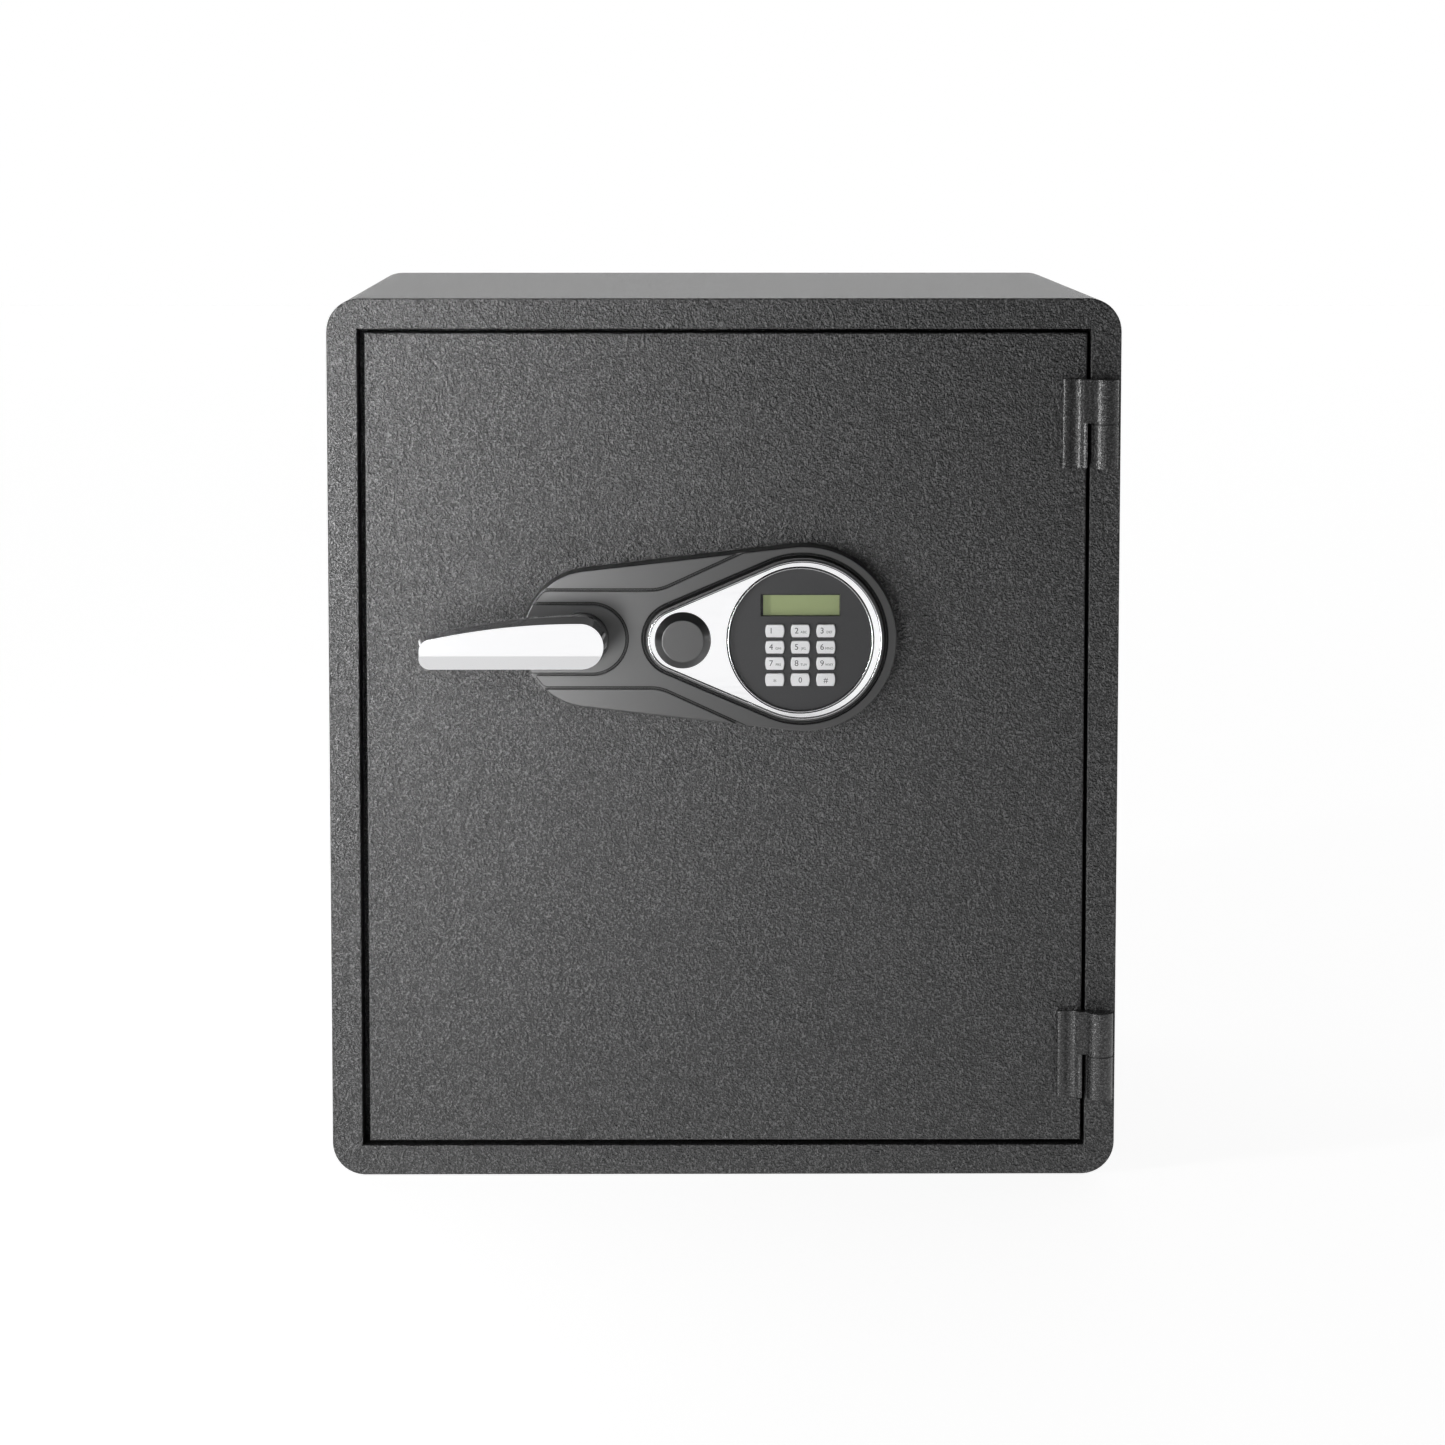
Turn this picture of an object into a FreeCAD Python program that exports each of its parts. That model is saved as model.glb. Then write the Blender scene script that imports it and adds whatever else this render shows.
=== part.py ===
"""Free-standing fire-resistant electronic safe with a flush door, lever handle and keypad lock.

Everything is in millimetres. X runs to the right and Z up, seen from the front. While a piece is
built, Y is the depth behind the front face, so what stands proud of the door has a negative Y.
save() moves each piece back by half the cabinet's depth, which puts the origin at the middle of
the cabinet's underside. The door is closed, the bolts are drawn in and the lever lies level.
"""
import FreeCAD
import Part
import math
import os

# Cabinet
width = 440.0
height = 493.0
depth = 430.0
corner_radius = 18.5
shell_sheet = 1.5
frame_sheet = 1.5
liner_sheet = 1.0
frame_border = 17.0          # visible face ring around the door
seal_room = 2.0              # the recess is this much deeper than the door's slab
wall_side = 50.0             # outside of the shell to inside of the liner
wall_rear = 50.0
throat_room = 15.0           # the frame's throat runs this far past the door's plug
fill_gap = 0.2               # around cast insulation
edge_round = 0.8
over = 1.0                   # a cutter runs this far past the face it opens

# Door
gap_lock = 4.0
gap_hinge = 2.0
gap_top = 2.0
gap_bottom = 2.6
door_sheet = 2.0
door_edge_round = 0.96
back_plate_sheet = 1.5
slab_depth = 26.0
plug_depth = 54.0
plug_gap_lock = 12.0         # room for the inner corner to swing out
plug_gap = 6.0               # hinge side, top and bottom
cover_sheet = 2.0
cover_round = 2.4
cover_bolt_gap = 0.5
post_inset = 14.0            # posts that carry the inner cover
post_radius = 5.0
seal_round = 0.5
seal_width = 9.0
seal_inset = 4.0
seal_clearance = 0.3

# Hinges
knuckle_radius = 7.0
knuckle_side_gap = 2.0       # knuckle to the cabinet's right side
face_clearance = 0.5         # knuckle above the frame's face
hinge_height = 49.0
hinge_end_distance = 69.2    # hinge middle to the cabinet's top or underside
washer_thickness = 0.8
washer_inset = 0.5           # washer within the knuckles
pin_radius = 4.0
running_clearance = 0.05
leaf_width = 13.8            # the part of a leaf that lies on the door
leaf_side_gap = 2.4          # leaf to the fixed knuckle's foot
leaf_crest = 6.6             # height of the crest beside the knuckle
leaf_bead = 3.5
leaf_hollow = 2.3
leaf_edge = 0.8
knuckle_floor = 4.0          # below the pin in the fixed knuckle
knuckle_roof = 3.0           # above the pin in the door's knuckle
pin_chamfer = 1.0

# Boltwork
lock_top_distance = 188.0    # lock axis to the cabinet's top
bolt_radius = 10.0
bolt_travel = 20.0
bolt_proud = 1.0             # of the plug's side when drawn in
bolt_length = 38.0
bolt_setback = 18.0          # bolt centres behind the door's slab
bolt_end_distance = 59.0     # outer bolts to the plug's ends
nose_chamfer = 1.5
dog_end_distance = 94.0      # dogs to the plug's ends
dog_radius = 6.0
dog_root = 10.0              # stretch of a dog between its foot and the inner cover
dog_foot_length = 10.0
dog_foot_half = 12.0
dog_reach = 13.0             # out of the plug's hinge side
dog_swing_room = 6.5         # the dogs move forward in their sockets as the door swings
socket_clearance = 1.5
socket_room = 7.0            # past a bolt's nose when it is thrown
strike_sheet = 4.0
strike_margin = 10.0
guide_gap = 6.0              # bolt guide to the inner cover
guide_sheet = 3.0
guide_foot = 20.0
guide_margin = 12.0
guide_rim = 6.0              # of the guide behind the bolts
bolt_running_gap = 0.1
carriage_sheet = 3.0
carriage_gap = 4.5           # carriage's web to the door's slab
web_height = 68.0
web_margin = 5.0             # material beside the plunger's notch
flange_margin = 5.0          # carriage flange past the outer bolts
slot_gap = 1.0               # spindle to its slot
crank_travel_deg = 60.0
crank_pin_radius = 4.0
crank_pin_play = 0.5
crank_sheet = 6.0
crank_hub_wall = 5.0
crank_end_wall = 3.0
crank_gap = 1.0              # crank to carriage
press_gap = 0.1              # pieces fixed on the spindle or the lock plug

# Lever handle
spindle_x = -79.0
spindle_radius = 6.0
collar_width = 6.0           # flange of the collar beyond its sleeve
collar_height = 3.5
bush_wall = 3.0
bush_flange_width = 3.0
bush_flange_sheet = 2.0
spindle_front = -38.0        # the spindle ends here inside the lever
spindle_end_room = 0.5
lever_gap = 0.3
lever_proud = 60.0           # front of the grip in front of the door
grip_thickness = 15.0
lever_reach = 89.0           # spindle to tip
grip_root_top = 17.3         # top of the grip above the spindle's axis
grip_middle_top = 14.2
grip_tip_top = 7.2
grip_bottom = 11.6           # below the spindle's axis
grip_root_band = 3.7         # height of the sloping band above the flat front
grip_middle_band = 3.0
grip_tip_band = 2.0
grip_band_depth = 5.0        # how far the band slopes back
grip_tip_bevel = 1.2         # how far the front ends short of the tip
grip_crease = 4.0            # below the axis; the front slopes back from here down
grip_slope = 2.6             # how far it slopes back
grip_edge_round = 2.2
grip_tip_round = 6.5
neck_base_radius = 14.2
neck_front_radius = 12.4
neck_overlap = 3.0           # of the neck into the grip

# Lock housing on the door: two round ends joined by tangents
housing_height = 12.0
housing_draft = 0.8
housing_left_x = -73.5
housing_left_radius = 38.2
housing_right_x = 44.0
housing_shoulder = 7.2       # housing beyond the bezel at the right
housing_wall = 3.0
override_boss_wall = 3.5
screw_radius = 2.0
screw_head_radius = 3.8
screw_head_height = 2.4
screw_slot_width = 1.0
screw_slot_share = 0.6       # of the head's width that the cross spans
screw_boss_radius = 4.0
screw_boss_overlap = 1.0     # with the housing's wall
screw_depth = 9.0            # length of thread in a boss or post
cable_hole_radius = 8.0
groove_width = 2.0
groove_depth = 1.2
inner_groove_radius = 19.7
outer_groove_offset = 27.3
outer_groove_bend_x = -35.6
outer_groove_slope_deg = 24.6
outer_groove_bend_radius = 25.0
outer_groove_corner_radius = 5.0
pedestal_height = 4.0
pedestal_margin = 1.0
pedestal_draft = 1.6
pedestal_groove_width = 1.1
pedestal_groove_depth = 0.8

# Chrome bezel and keypad
bezel_left_x = -24.6
bezel_right_x = 43.0
bezel_ring = 5.0             # bezel beyond the keypad
bezel_rim_width = 2.2
bezel_rim_height = 3.0
bezel_rim_round = 0.9
bezel_cap_gap = 0.6
bezel_web_height = 2.3
keypad_x = 42.0
keypad_radius = 39.4
keypad_recess = 1.5          # panel face below the bezel's web
keypad_seat = 2.5            # how deep the panel sits into the housing's pedestal
keypad_ledge = 2.6           # the panel rests on this much of the pedestal
panel_round = 0.3
fit_gap = 0.2
key_pitch_x = 14.1
key_pitch_z = 9.05
key_width = 10.6
key_waist = 9.0              # width at a key's top and bottom edge
key_height = 7.1
key_top_row_z = 5.1          # above the lock's axis
key_proud = 1.4
key_travel = 1.0
key_gap = 0.3
key_tail = 0.5               # key behind the panel
key_rest_gap = 0.1           # key at the end of its travel to the mat
key_side_round = 0.7
key_face_round = 0.5
display_z = 19.3
display_width = 44.0
display_height = 12.4
display_recess = 2.1
lens_thickness = 1.2
display_thickness = 3.0
display_margin = 1.0
mat_thickness = 1.4
mat_margin = 1.0
board_thickness = 1.6
board_gap = 0.5
chip_size = 16.0
chip_height = 2.0
chip_drop = 18.0             # below the lock's axis

# Override lock under its round cap
override_x = -23.0
cap_radius = 15.6
cap_face_radius = 11.6
cap_height = 5.2
cap_stem_play = 0.4          # stem round the lock's nose
cap_stem_wall = 1.6
cap_gap = 0.2                # cap to bezel
cap_rim = 0.8
cap_stem_gap = 0.5
override_body_wall = 2.5     # the lock's body beyond its nose
override_nose_wall = 2.0
override_nose_proud = 3.0    # of the housing's face
override_shoulder = 2.0      # thickness of housing in front of the lock's body
override_plug_radius = 5.0
keyway_width = 1.8
keyway_height = 7.2
keyway_depth = 14.0
cam_gap = 0.5                # cam to the slab
cam_sheet = 2.5
cam_length = 40.0
cam_radius = 5.0
cam_hub_radius = 8.0

# Solenoid that blocks the carriage
plunger_x = -70.0
plunger_radius = 4.0
plunger_rest_gap = 0.5
notch_width = 10.0
notch_height = 8.0
solenoid_width = 26.0
solenoid_height = 34.0
solenoid_sheet = 2.0
solenoid_drop = 8.0          # top of the solenoid's frame below the plunger's tip
solenoid_reach = 13.0        # frame behind the plunger's axis
plunger_offset = 6.0         # plunger's axis behind the middle of the carriage's web
plunger_tail = 3.0
plunger_gap = 0.4
tongue_sheet = 3.0
coil_gap = 0.3
coil_radius = 9.6
spring_wire_radius = 0.45
spring_coil_radius = 4.9
spring_pitch = 1.5
spring_end_gap = 0.1

# Battery box in the door's inner cover
battery_radius = 7.1
battery_length = 50.0
battery_button_radius = 2.6
battery_button_length = 1.2
battery_gap = 1.0
battery_count = 4
battery_wall = 1.8
battery_end_room = 6.0       # for the contact springs
flap_room = 4.0              # batteries to the inner cover's face
battery_box_z = 150.0
battery_flange = 5.0         # lip of the holder behind the inner cover
flap_gap = 0.5
flap_sheet = 1.8
flap_pin_radius = 0.6
flap_pin_length = 1.6        # out of each end of the flap into the inner cover
flap_pin_clearance = 0.1
flap_rib = 1.2
flap_rib_half = 12.0
flap_rib_drop = 5.0          # first rib below the flap's top edge

# Inside and anchors
shelf_z = 250.0
shelf_setback = 80.0         # behind the door's plug, so that the battery flap can open
shelf_sheet = 1.2
shelf_side_gap = 1.0
shelf_lip = 14.0
clip_size = 12.0
clip_sheet = 2.4
clip_front_inset = 20.0
clip_rear_inset = 40.0
anchor_bore_radius = 6.25
anchor_sleeve_radius = 9.0
anchor_spacing_x = 240.0
anchor_spacing_z = 280.0

# Places and sizes that follow from the sizes above
half = width / 2
open_left, open_right = -half + frame_border, half - frame_border
open_bottom, open_top = frame_border, height - frame_border
in_left, in_right = -half + wall_side, half - wall_side
in_bottom, in_top = wall_side, height - wall_side
in_back = depth - wall_rear
opening = (open_left, open_right, open_bottom, open_top)
inside = (in_left, in_right, in_bottom, in_top)
recess_depth = slab_depth + seal_room
plug_back = slab_depth + plug_depth
throat_depth = plug_back + throat_room
door_left, door_right = open_left + gap_lock, open_right - gap_hinge
door_bottom, door_top = open_bottom + gap_bottom, open_top - gap_top
plug_left, plug_right = in_left + plug_gap_lock, in_right - plug_gap
plug_bottom, plug_top = in_bottom + plug_gap, in_top - plug_gap
hinge_x = half - knuckle_side_gap - knuckle_radius
hinge_y = -(knuckle_radius + face_clearance)
hinge_middles = {"lower": hinge_end_distance, "upper": height - hinge_end_distance}
lock_z = height - lock_top_distance
bolt_depth = slab_depth + bolt_setback
bolt_heights = (plug_bottom + bolt_end_distance, (plug_bottom + plug_top) / 2, plug_top - bolt_end_distance)
dog_heights = (plug_bottom + dog_end_distance, plug_top - dog_end_distance)
bolt_nose_x = plug_left - bolt_proud
socket_depth = in_left - bolt_nose_x + bolt_travel + socket_room
carriage_flange_x = bolt_nose_x + bolt_length
carriage_depth = slab_depth + carriage_gap
crank_depth = carriage_depth + carriage_sheet + crank_gap
crank_radius = bolt_travel / (2 * math.sin(math.radians(crank_travel_deg / 2)))
web_right = plunger_x + bolt_travel + notch_width / 2 + web_margin
bush_radius = spindle_radius + bush_wall
collar_radius = bush_radius + collar_width
housing_face = -housing_height
pedestal_face = housing_face - pedestal_height
bezel_left_radius = cap_radius + bezel_rim_width
bezel_right_radius = keypad_radius + bezel_ring
housing_right_radius = bezel_right_radius + housing_shoulder
bezel_web_face = pedestal_face - bezel_web_height
keypad_opening_radius = keypad_radius - keypad_ledge
panel_face = bezel_web_face + keypad_recess
panel_back = pedestal_face + keypad_seat
lens_face = panel_face + display_recess
lens_back = lens_face + lens_thickness
key_back = panel_back + key_tail
mat_face = key_back + key_travel + key_rest_gap
board_face = mat_face + mat_thickness
override_nose_radius = override_plug_radius + override_nose_wall
override_body_radius = override_nose_radius + override_body_wall
override_boss_radius = override_body_radius + override_boss_wall
override_front = housing_face - override_nose_proud
cap_stem_radius = override_nose_radius + cap_stem_play + cap_stem_wall
battery_pitch = 2 * battery_radius + battery_gap
battery_box_depth = battery_wall + 2 * battery_radius + flap_room
battery_box_half_x = battery_length / 2 + battery_end_room
battery_box_half_z = battery_pitch * battery_count / 2 + battery_wall
flap_half_x = battery_box_half_x + battery_wall - flap_gap
flap_half_z = battery_box_half_z + fit_gap - flap_gap
flap_axis_y = plug_back - flap_sheet / 2
flap_axis_z = battery_box_z - flap_half_z + flap_sheet / 2
shelf_front = plug_back + shelf_setback


def vec(x, y, z):
    return FreeCAD.Vector(x, y, z)


def block(x0, x1, y0, y1, z0, z1):
    """A box between two corners."""
    return Part.makeBox(x1 - x0, y1 - y0, z1 - z0, vec(x0, y0, z0))


def rod_y(x, z, radius, y0, y1):
    """A cylinder along Y."""
    return Part.makeCylinder(radius, y1 - y0, vec(x, y0, z), vec(0, 1, 0))


def rod_x(y, z, radius, x0, x1):
    """A cylinder along X."""
    return Part.makeCylinder(radius, x1 - x0, vec(x0, y, z), vec(1, 0, 0))


def rod_z(x, y, radius, z0, z1):
    """A cylinder along Z."""
    return Part.makeCylinder(radius, z1 - z0, vec(x, y, z0), vec(0, 0, 1))


def prism(wire, length):
    """A wire in an XZ plane, extruded towards +Y."""
    return Part.Face(wire).extrude(vec(0, length, 0))


def rounded_box(x0, x1, y0, y1, z0, z1, radius):
    """A box whose four edges along Y are round."""
    solid = block(x0, x1, y0, y1, z0, z1)
    along_y = [e for e in solid.Edges if abs(e.tangentAt(e.FirstParameter).y) > 0.99]
    return solid.makeFillet(radius, along_y)


def front_edges(solid, y):
    """The edges that lie wholly in the plane at depth y."""
    return [e for e in solid.Edges if abs(e.BoundBox.YMin - y) < 1e-4 and abs(e.BoundBox.YMax - y) < 1e-4]


def round_at(solid, y, radius):
    """Rounds every edge that lies in the plane at depth y."""
    return solid.makeFillet(radius, front_edges(solid, y))


def group(solids):
    return Part.makeCompound(solids)


def save(name, shape):
    """Moves a piece into the safe's own frame and writes it."""
    moved = shape.copy()
    moved.translate(vec(0, -depth / 2, 0))
    moved.exportStep(f"parts/{name}.step")


def teardrop_wire(left_x, left_radius, right_x, right_radius, y):
    """Two circles on the lock's axis joined by their outer tangents, in the plane at depth y."""
    lean = math.asin((right_radius - left_radius) / (right_x - left_x))
    nx, nz = -math.sin(lean), math.cos(lean)

    def at(x, radius, side):
        return vec(x + radius * nx, y, lock_z + side * radius * nz)

    left_arc = Part.Arc(at(left_x, left_radius, -1), vec(left_x - left_radius, y, lock_z),
                        at(left_x, left_radius, 1))
    right_arc = Part.Arc(at(right_x, right_radius, 1), vec(right_x + right_radius, y, lock_z),
                         at(right_x, right_radius, -1))
    top = Part.LineSegment(at(left_x, left_radius, 1), at(right_x, right_radius, 1))
    bottom = Part.LineSegment(at(right_x, right_radius, -1), at(left_x, left_radius, -1))
    return Part.Wire([g.toShape() for g in (left_arc, top, right_arc, bottom)])


def bezel_wire(offset, y):
    return teardrop_wire(bezel_left_x, bezel_left_radius + offset,
                         bezel_right_x, bezel_right_radius + offset, y)


def housing_wire(offset, y):
    return teardrop_wire(housing_left_x, housing_left_radius + offset,
                         housing_right_x, housing_right_radius + offset, y)


def stadium(x0, x1, z, radius, y0, y1):
    """A slot along X with round ends centred on x0 and x1."""
    return rod_y(x0, z, radius, y0, y1).fuse(
        [rod_y(x1, z, radius, y0, y1), block(x0, x1, y0, y1, z - radius, z + radius)]).removeSplitter()


def upright_slot(x, z0, z1, radius, y0, y1):
    """A slot along Z with round ends centred on z0 and z1."""
    return rod_y(x, z0, radius, y0, y1).fuse(
        [rod_y(x, z1, radius, y0, y1), block(x - radius, x + radius, y0, y1, z0, z1)]).removeSplitter()


# ---------------------------------------------------------------- cabinet

def cabinet_outline(inset, y0, y1):
    return rounded_box(-half + inset, half - inset, y0, y1, inset, height - inset, corner_radius - inset)


def bolt_sockets(clearance, x0, x1):
    return [rod_x(bolt_depth, z, bolt_radius + clearance, x0, x1) for z in bolt_heights]


def dog_sockets(clearance, x0, x1):
    """Openings for the fixed dogs, longer towards the front because the dogs swing out that way."""
    sockets = []
    for z in dog_heights:
        radius = dog_radius + clearance
        back = rod_x(bolt_depth, z, radius, x0, x1)
        front = rod_x(bolt_depth - dog_swing_room, z, radius, x0, x1)
        between = block(x0, x1, bolt_depth - dog_swing_room, bolt_depth, z - radius, z + radius)
        sockets.append(back.fuse([front, between]).removeSplitter())
    return sockets


def outer_shell():
    tube = cabinet_outline(0, frame_sheet, depth)
    return tube.cut(cabinet_outline(shell_sheet, frame_sheet - over, depth + over))


def channel_sheets(sides, t, y0, y1):
    """Left, right, bottom and top sheets, t thick, around an opening between two depths."""
    left, right, bottom, top = sides
    return [block(left - t, left, y0, y1, bottom - t, top + t),
            block(right, right + t, y0, y1, bottom - t, top + t),
            block(left, right, y0, y1, bottom - t, bottom),
            block(left, right, y0, y1, top, top + t)]


def face_runs(t):
    """The face ring in four runs: two uprights of full height, and one between them below and above."""
    ring = cabinet_outline(0, 0, t).cut(block(open_left, open_right, -over, t + over, open_bottom, open_top))
    ring = round_at(ring, 0, edge_round)
    return [ring.common(block(-half, open_left, 0, t, 0, height)),
            ring.common(block(open_right, half, 0, t, 0, height)),
            ring.common(block(open_left, open_right, 0, t, 0, open_bottom)),
            ring.common(block(open_left, open_right, 0, t, open_top, height))]


def front_frame():
    """Face ring, jamb, step and throat: flat runs of sheet, folded and welded where they meet."""
    t = frame_sheet
    step_back = recess_depth + t
    jamb = channel_sheets(opening, t, t, recess_depth)
    step = [block(open_left - t, in_left, recess_depth, step_back, open_bottom - t, open_top + t),
            block(in_right, open_right + t, recess_depth, step_back, open_bottom - t, open_top + t),
            block(in_left, in_right, recess_depth, step_back, open_bottom - t, in_bottom),
            block(in_left, in_right, recess_depth, step_back, in_top, open_top + t)]
    left, right, bottom, top = channel_sheets(inside, t, step_back, throat_depth)
    left = left.cut(bolt_sockets(socket_clearance, in_left - t - over, in_left + over))
    right = right.cut(dog_sockets(socket_clearance, in_right - over, in_right + t + over))
    return group(face_runs(t) + jamb + step + [left, right, bottom, top])


def strike_plate():
    x1 = in_left - frame_sheet
    x0 = x1 - strike_sheet
    reach = bolt_radius + strike_margin
    plate = block(x0, x1, recess_depth + frame_sheet, bolt_depth + reach,
                  bolt_heights[0] - reach, bolt_heights[-1] + reach)
    return plate.cut(bolt_sockets(socket_clearance, x0 - over, x1 + over))


def anchor_rods(radius, y0, y1):
    """Four rods on the pattern of the rear anchors."""
    places = [(side * anchor_spacing_x / 2, height / 2 + up * anchor_spacing_z / 2)
              for side in (-1, 1) for up in (-1, 1)]
    return [rod_y(x, z, radius, y0, y1) for x, z in places]


def back_panel():
    panel = cabinet_outline(shell_sheet + fill_gap, depth - shell_sheet, depth)
    return panel.cut(anchor_rods(anchor_bore_radius, depth - shell_sheet - over, depth + over))


def cabinet_liner():
    """Five flat sheets welded at their edges: four sides and the back."""
    t = liner_sheet
    back = block(in_left - t, in_right + t, in_back, in_back + t, in_bottom - t, in_top + t)
    back = back.cut(anchor_rods(anchor_bore_radius, in_back - over, in_back + t + over))
    return group(channel_sheets(inside, t, throat_depth, in_back) + [back])


def anchor_sleeves():
    y0, y1 = in_back + liner_sheet, depth - shell_sheet
    bores = anchor_rods(anchor_bore_radius, y0 - over, y1 + over)
    return group([rod.cut(bores) for rod in anchor_rods(anchor_sleeve_radius, y0, y1)])


def cabinet_insulation():
    t, g = frame_sheet, fill_gap
    fill = cabinet_outline(shell_sheet + g, t, depth - shell_sheet)
    fill = fill.cut(block(open_left - t - g, open_right + t + g, 0, recess_depth + t,
                          open_bottom - t - g, open_top + t + g))
    fill = fill.cut(block(in_left - t, in_right + t, 0, in_back + liner_sheet, in_bottom - t, in_top + t))
    plate = strike_plate().BoundBox
    fill = fill.cut(block(plate.XMin, in_left, plate.YMin, plate.YMax, plate.ZMin, plate.ZMax))
    fill = fill.cut(bolt_sockets(socket_clearance, in_left - socket_depth, in_left))
    fill = fill.cut(dog_sockets(socket_clearance, in_right, in_right + socket_depth))
    return fill.cut(anchor_rods(anchor_sleeve_radius + g, in_back - over, depth))


def shelf():
    x0, x1 = in_left + shelf_side_gap, in_right - shelf_side_gap
    tray = block(x0, x1, shelf_front, in_back - shelf_side_gap, shelf_z, shelf_z + shelf_lip)
    t = shelf_sheet
    return tray.cut(block(x0 + t, x1 - t, shelf_front + t, in_back, shelf_z - over, shelf_z + shelf_lip - t))


def shelf_clips():
    """Four angle clips on the liner's sides that carry the shelf."""
    clips = []
    for y in (shelf_front + clip_front_inset, in_back - clip_rear_inset):
        for wall, inward in ((in_left, 1), (in_right, -1)):
            x0, x1 = sorted((wall, wall + inward * clip_size))
            foot = block(x0, x1, y, y + clip_size, shelf_z - clip_sheet, shelf_z)
            x0, x1 = sorted((wall, wall + inward * clip_sheet))
            tab = block(x0, x1, y, y + clip_size, shelf_z - clip_size, shelf_z)
            clips.append(foot.fuse(tab).removeSplitter())
    return group(clips)


# ---------------------------------------------------------------- hinges

def knuckle_split(z_middle):
    """Where the fixed knuckle ends and the door's knuckle begins."""
    return z_middle - washer_thickness / 2, z_middle + washer_thickness / 2


def frame_knuckle(z_middle):
    z0 = z_middle - hinge_height / 2
    z1 = knuckle_split(z_middle)[0]
    foot_left = door_right + leaf_side_gap
    barrel = rod_z(hinge_x, hinge_y, knuckle_radius, z0, z1)
    foot = block(foot_left, hinge_x + knuckle_radius, hinge_y + knuckle_radius / 2, 0, z0, z1)
    knuckle = barrel.fuse(foot).removeSplitter()
    return knuckle.cut(rod_z(hinge_x, hinge_y, pin_radius, z0 + knuckle_floor, z1 + over))


def hinge_pin(z_middle):
    reach = hinge_height / 2 - knuckle_floor
    pin = rod_z(hinge_x, hinge_y, pin_radius - running_clearance, z_middle - reach, z_middle + reach)
    top = [e for e in pin.Edges if e.BoundBox.ZMin > z_middle + reach - pin_chamfer]
    return pin.makeChamfer(pin_chamfer, top)


def hinge_washer(z_middle):
    z0, z1 = knuckle_split(z_middle)
    washer = rod_z(hinge_x, hinge_y, knuckle_radius - washer_inset, z0, z1)
    return washer.cut(rod_z(hinge_x, hinge_y, pin_radius + running_clearance, z0 - over, z1 + over))


def leaf_profile(z):
    """Section of a door leaf: a bead at the free edge, a hollow, then a crest beside the knuckle."""
    left = door_right - leaf_width
    heights = [(0.0, leaf_edge), (0.09, leaf_bead), (0.25, leaf_bead), (0.48, leaf_hollow),
               (0.72, leaf_bead), (0.9, 0.94 * leaf_crest), (1.0, leaf_crest)]
    points = [vec(left + share * leaf_width, -rise, z) for share, rise in heights]
    wave = Part.BSplineCurve()
    wave.interpolate(points)
    corners = [points[-1], vec(door_right, 0, z), vec(left, 0, z), points[0]]
    sides = [Part.LineSegment(a, b).toShape() for a, b in zip(corners, corners[1:])]
    return Part.Wire([wave.toShape()] + sides)


def hinge_leaf(z_middle):
    z0, z1 = z_middle - hinge_height / 2, z_middle + hinge_height / 2
    split = knuckle_split(z_middle)[1]
    plate = Part.Face(leaf_profile(z0)).extrude(vec(0, 0, z1 - z0))
    arm = block(door_right - door_sheet, hinge_x, -leaf_crest, -face_clearance, split, z1)
    barrel = rod_z(hinge_x, hinge_y, knuckle_radius, split, z1)
    leaf = plate.fuse([arm, barrel]).removeSplitter()
    return leaf.cut(rod_z(hinge_x, hinge_y, pin_radius, split - over, z1 - knuckle_roof))


# ---------------------------------------------------------------- door

def spindle_hole(radius, y0, y1):
    return rod_y(spindle_x, lock_z, radius, y0, y1)


def override_hole(radius, y0, y1):
    return rod_y(override_x, lock_z, radius, y0, y1)


def housing_screw_places():
    """Two beside the keypad, above and below it, and one behind the lever."""
    inset = housing_wall + screw_boss_radius - screw_boss_overlap
    ring = housing_right_radius - inset
    return [(housing_right_x, lock_z + ring), (housing_right_x, lock_z - ring),
            (housing_left_x - housing_left_radius + inset, lock_z)]


def door_passages(y0, y1):
    """Holes through the slab for the spindle, the override lock, the cable and the housing's screws."""
    holes = [rod_y(x, z, screw_radius + fit_gap, y0, y1) for x, z in housing_screw_places()]
    holes.append(rod_y(keypad_x, lock_z, cable_hole_radius, y0, y1))
    holes.append(spindle_hole(bush_radius + fit_gap, y0, y1))
    holes.append(override_hole(override_body_radius + fit_gap, y0, y1))
    return holes


def door_skin():
    t = door_sheet
    skin = block(door_left, door_right, 0, slab_depth, door_bottom, door_top)
    skin = round_at(skin, 0, door_edge_round)
    skin = skin.cut(block(door_left + t, door_right - t, t, slab_depth + over, door_bottom + t, door_top - t))
    return skin.cut(door_passages(-over, t + over))


def door_core():
    t = door_sheet
    core = block(door_left + t, door_right - t, t, slab_depth - back_plate_sheet,
                 door_bottom + t, door_top - t)
    return core.cut(door_passages(0, slab_depth))


def cover_posts(radius, y0, y1):
    """Rods at the inner cover's posts: four corners and the middle of the hinge side."""
    x0, x1 = plug_left + post_inset, plug_right - post_inset
    z0, z1 = plug_bottom + post_inset, plug_top - post_inset
    places = [(x0, z0), (x0, z1), (x1, z0), (x1, (z0 + z1) / 2), (x1, z1)]
    return [rod_y(x, z, radius, y0, y1) for x, z in places]


def door_back_plate():
    t = door_sheet
    y0 = slab_depth - back_plate_sheet
    plate = block(door_left + t, door_right - t, y0, slab_depth, door_bottom + t, door_top - t)
    plate = plate.cut(door_passages(y0 - over, slab_depth + over))
    post_end = plug_back - cover_sheet
    plate = plate.fuse(cover_posts(post_radius, slab_depth, post_end)).removeSplitter()
    return plate.cut(cover_posts(screw_radius, post_end - screw_depth - over, post_end + over))


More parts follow.
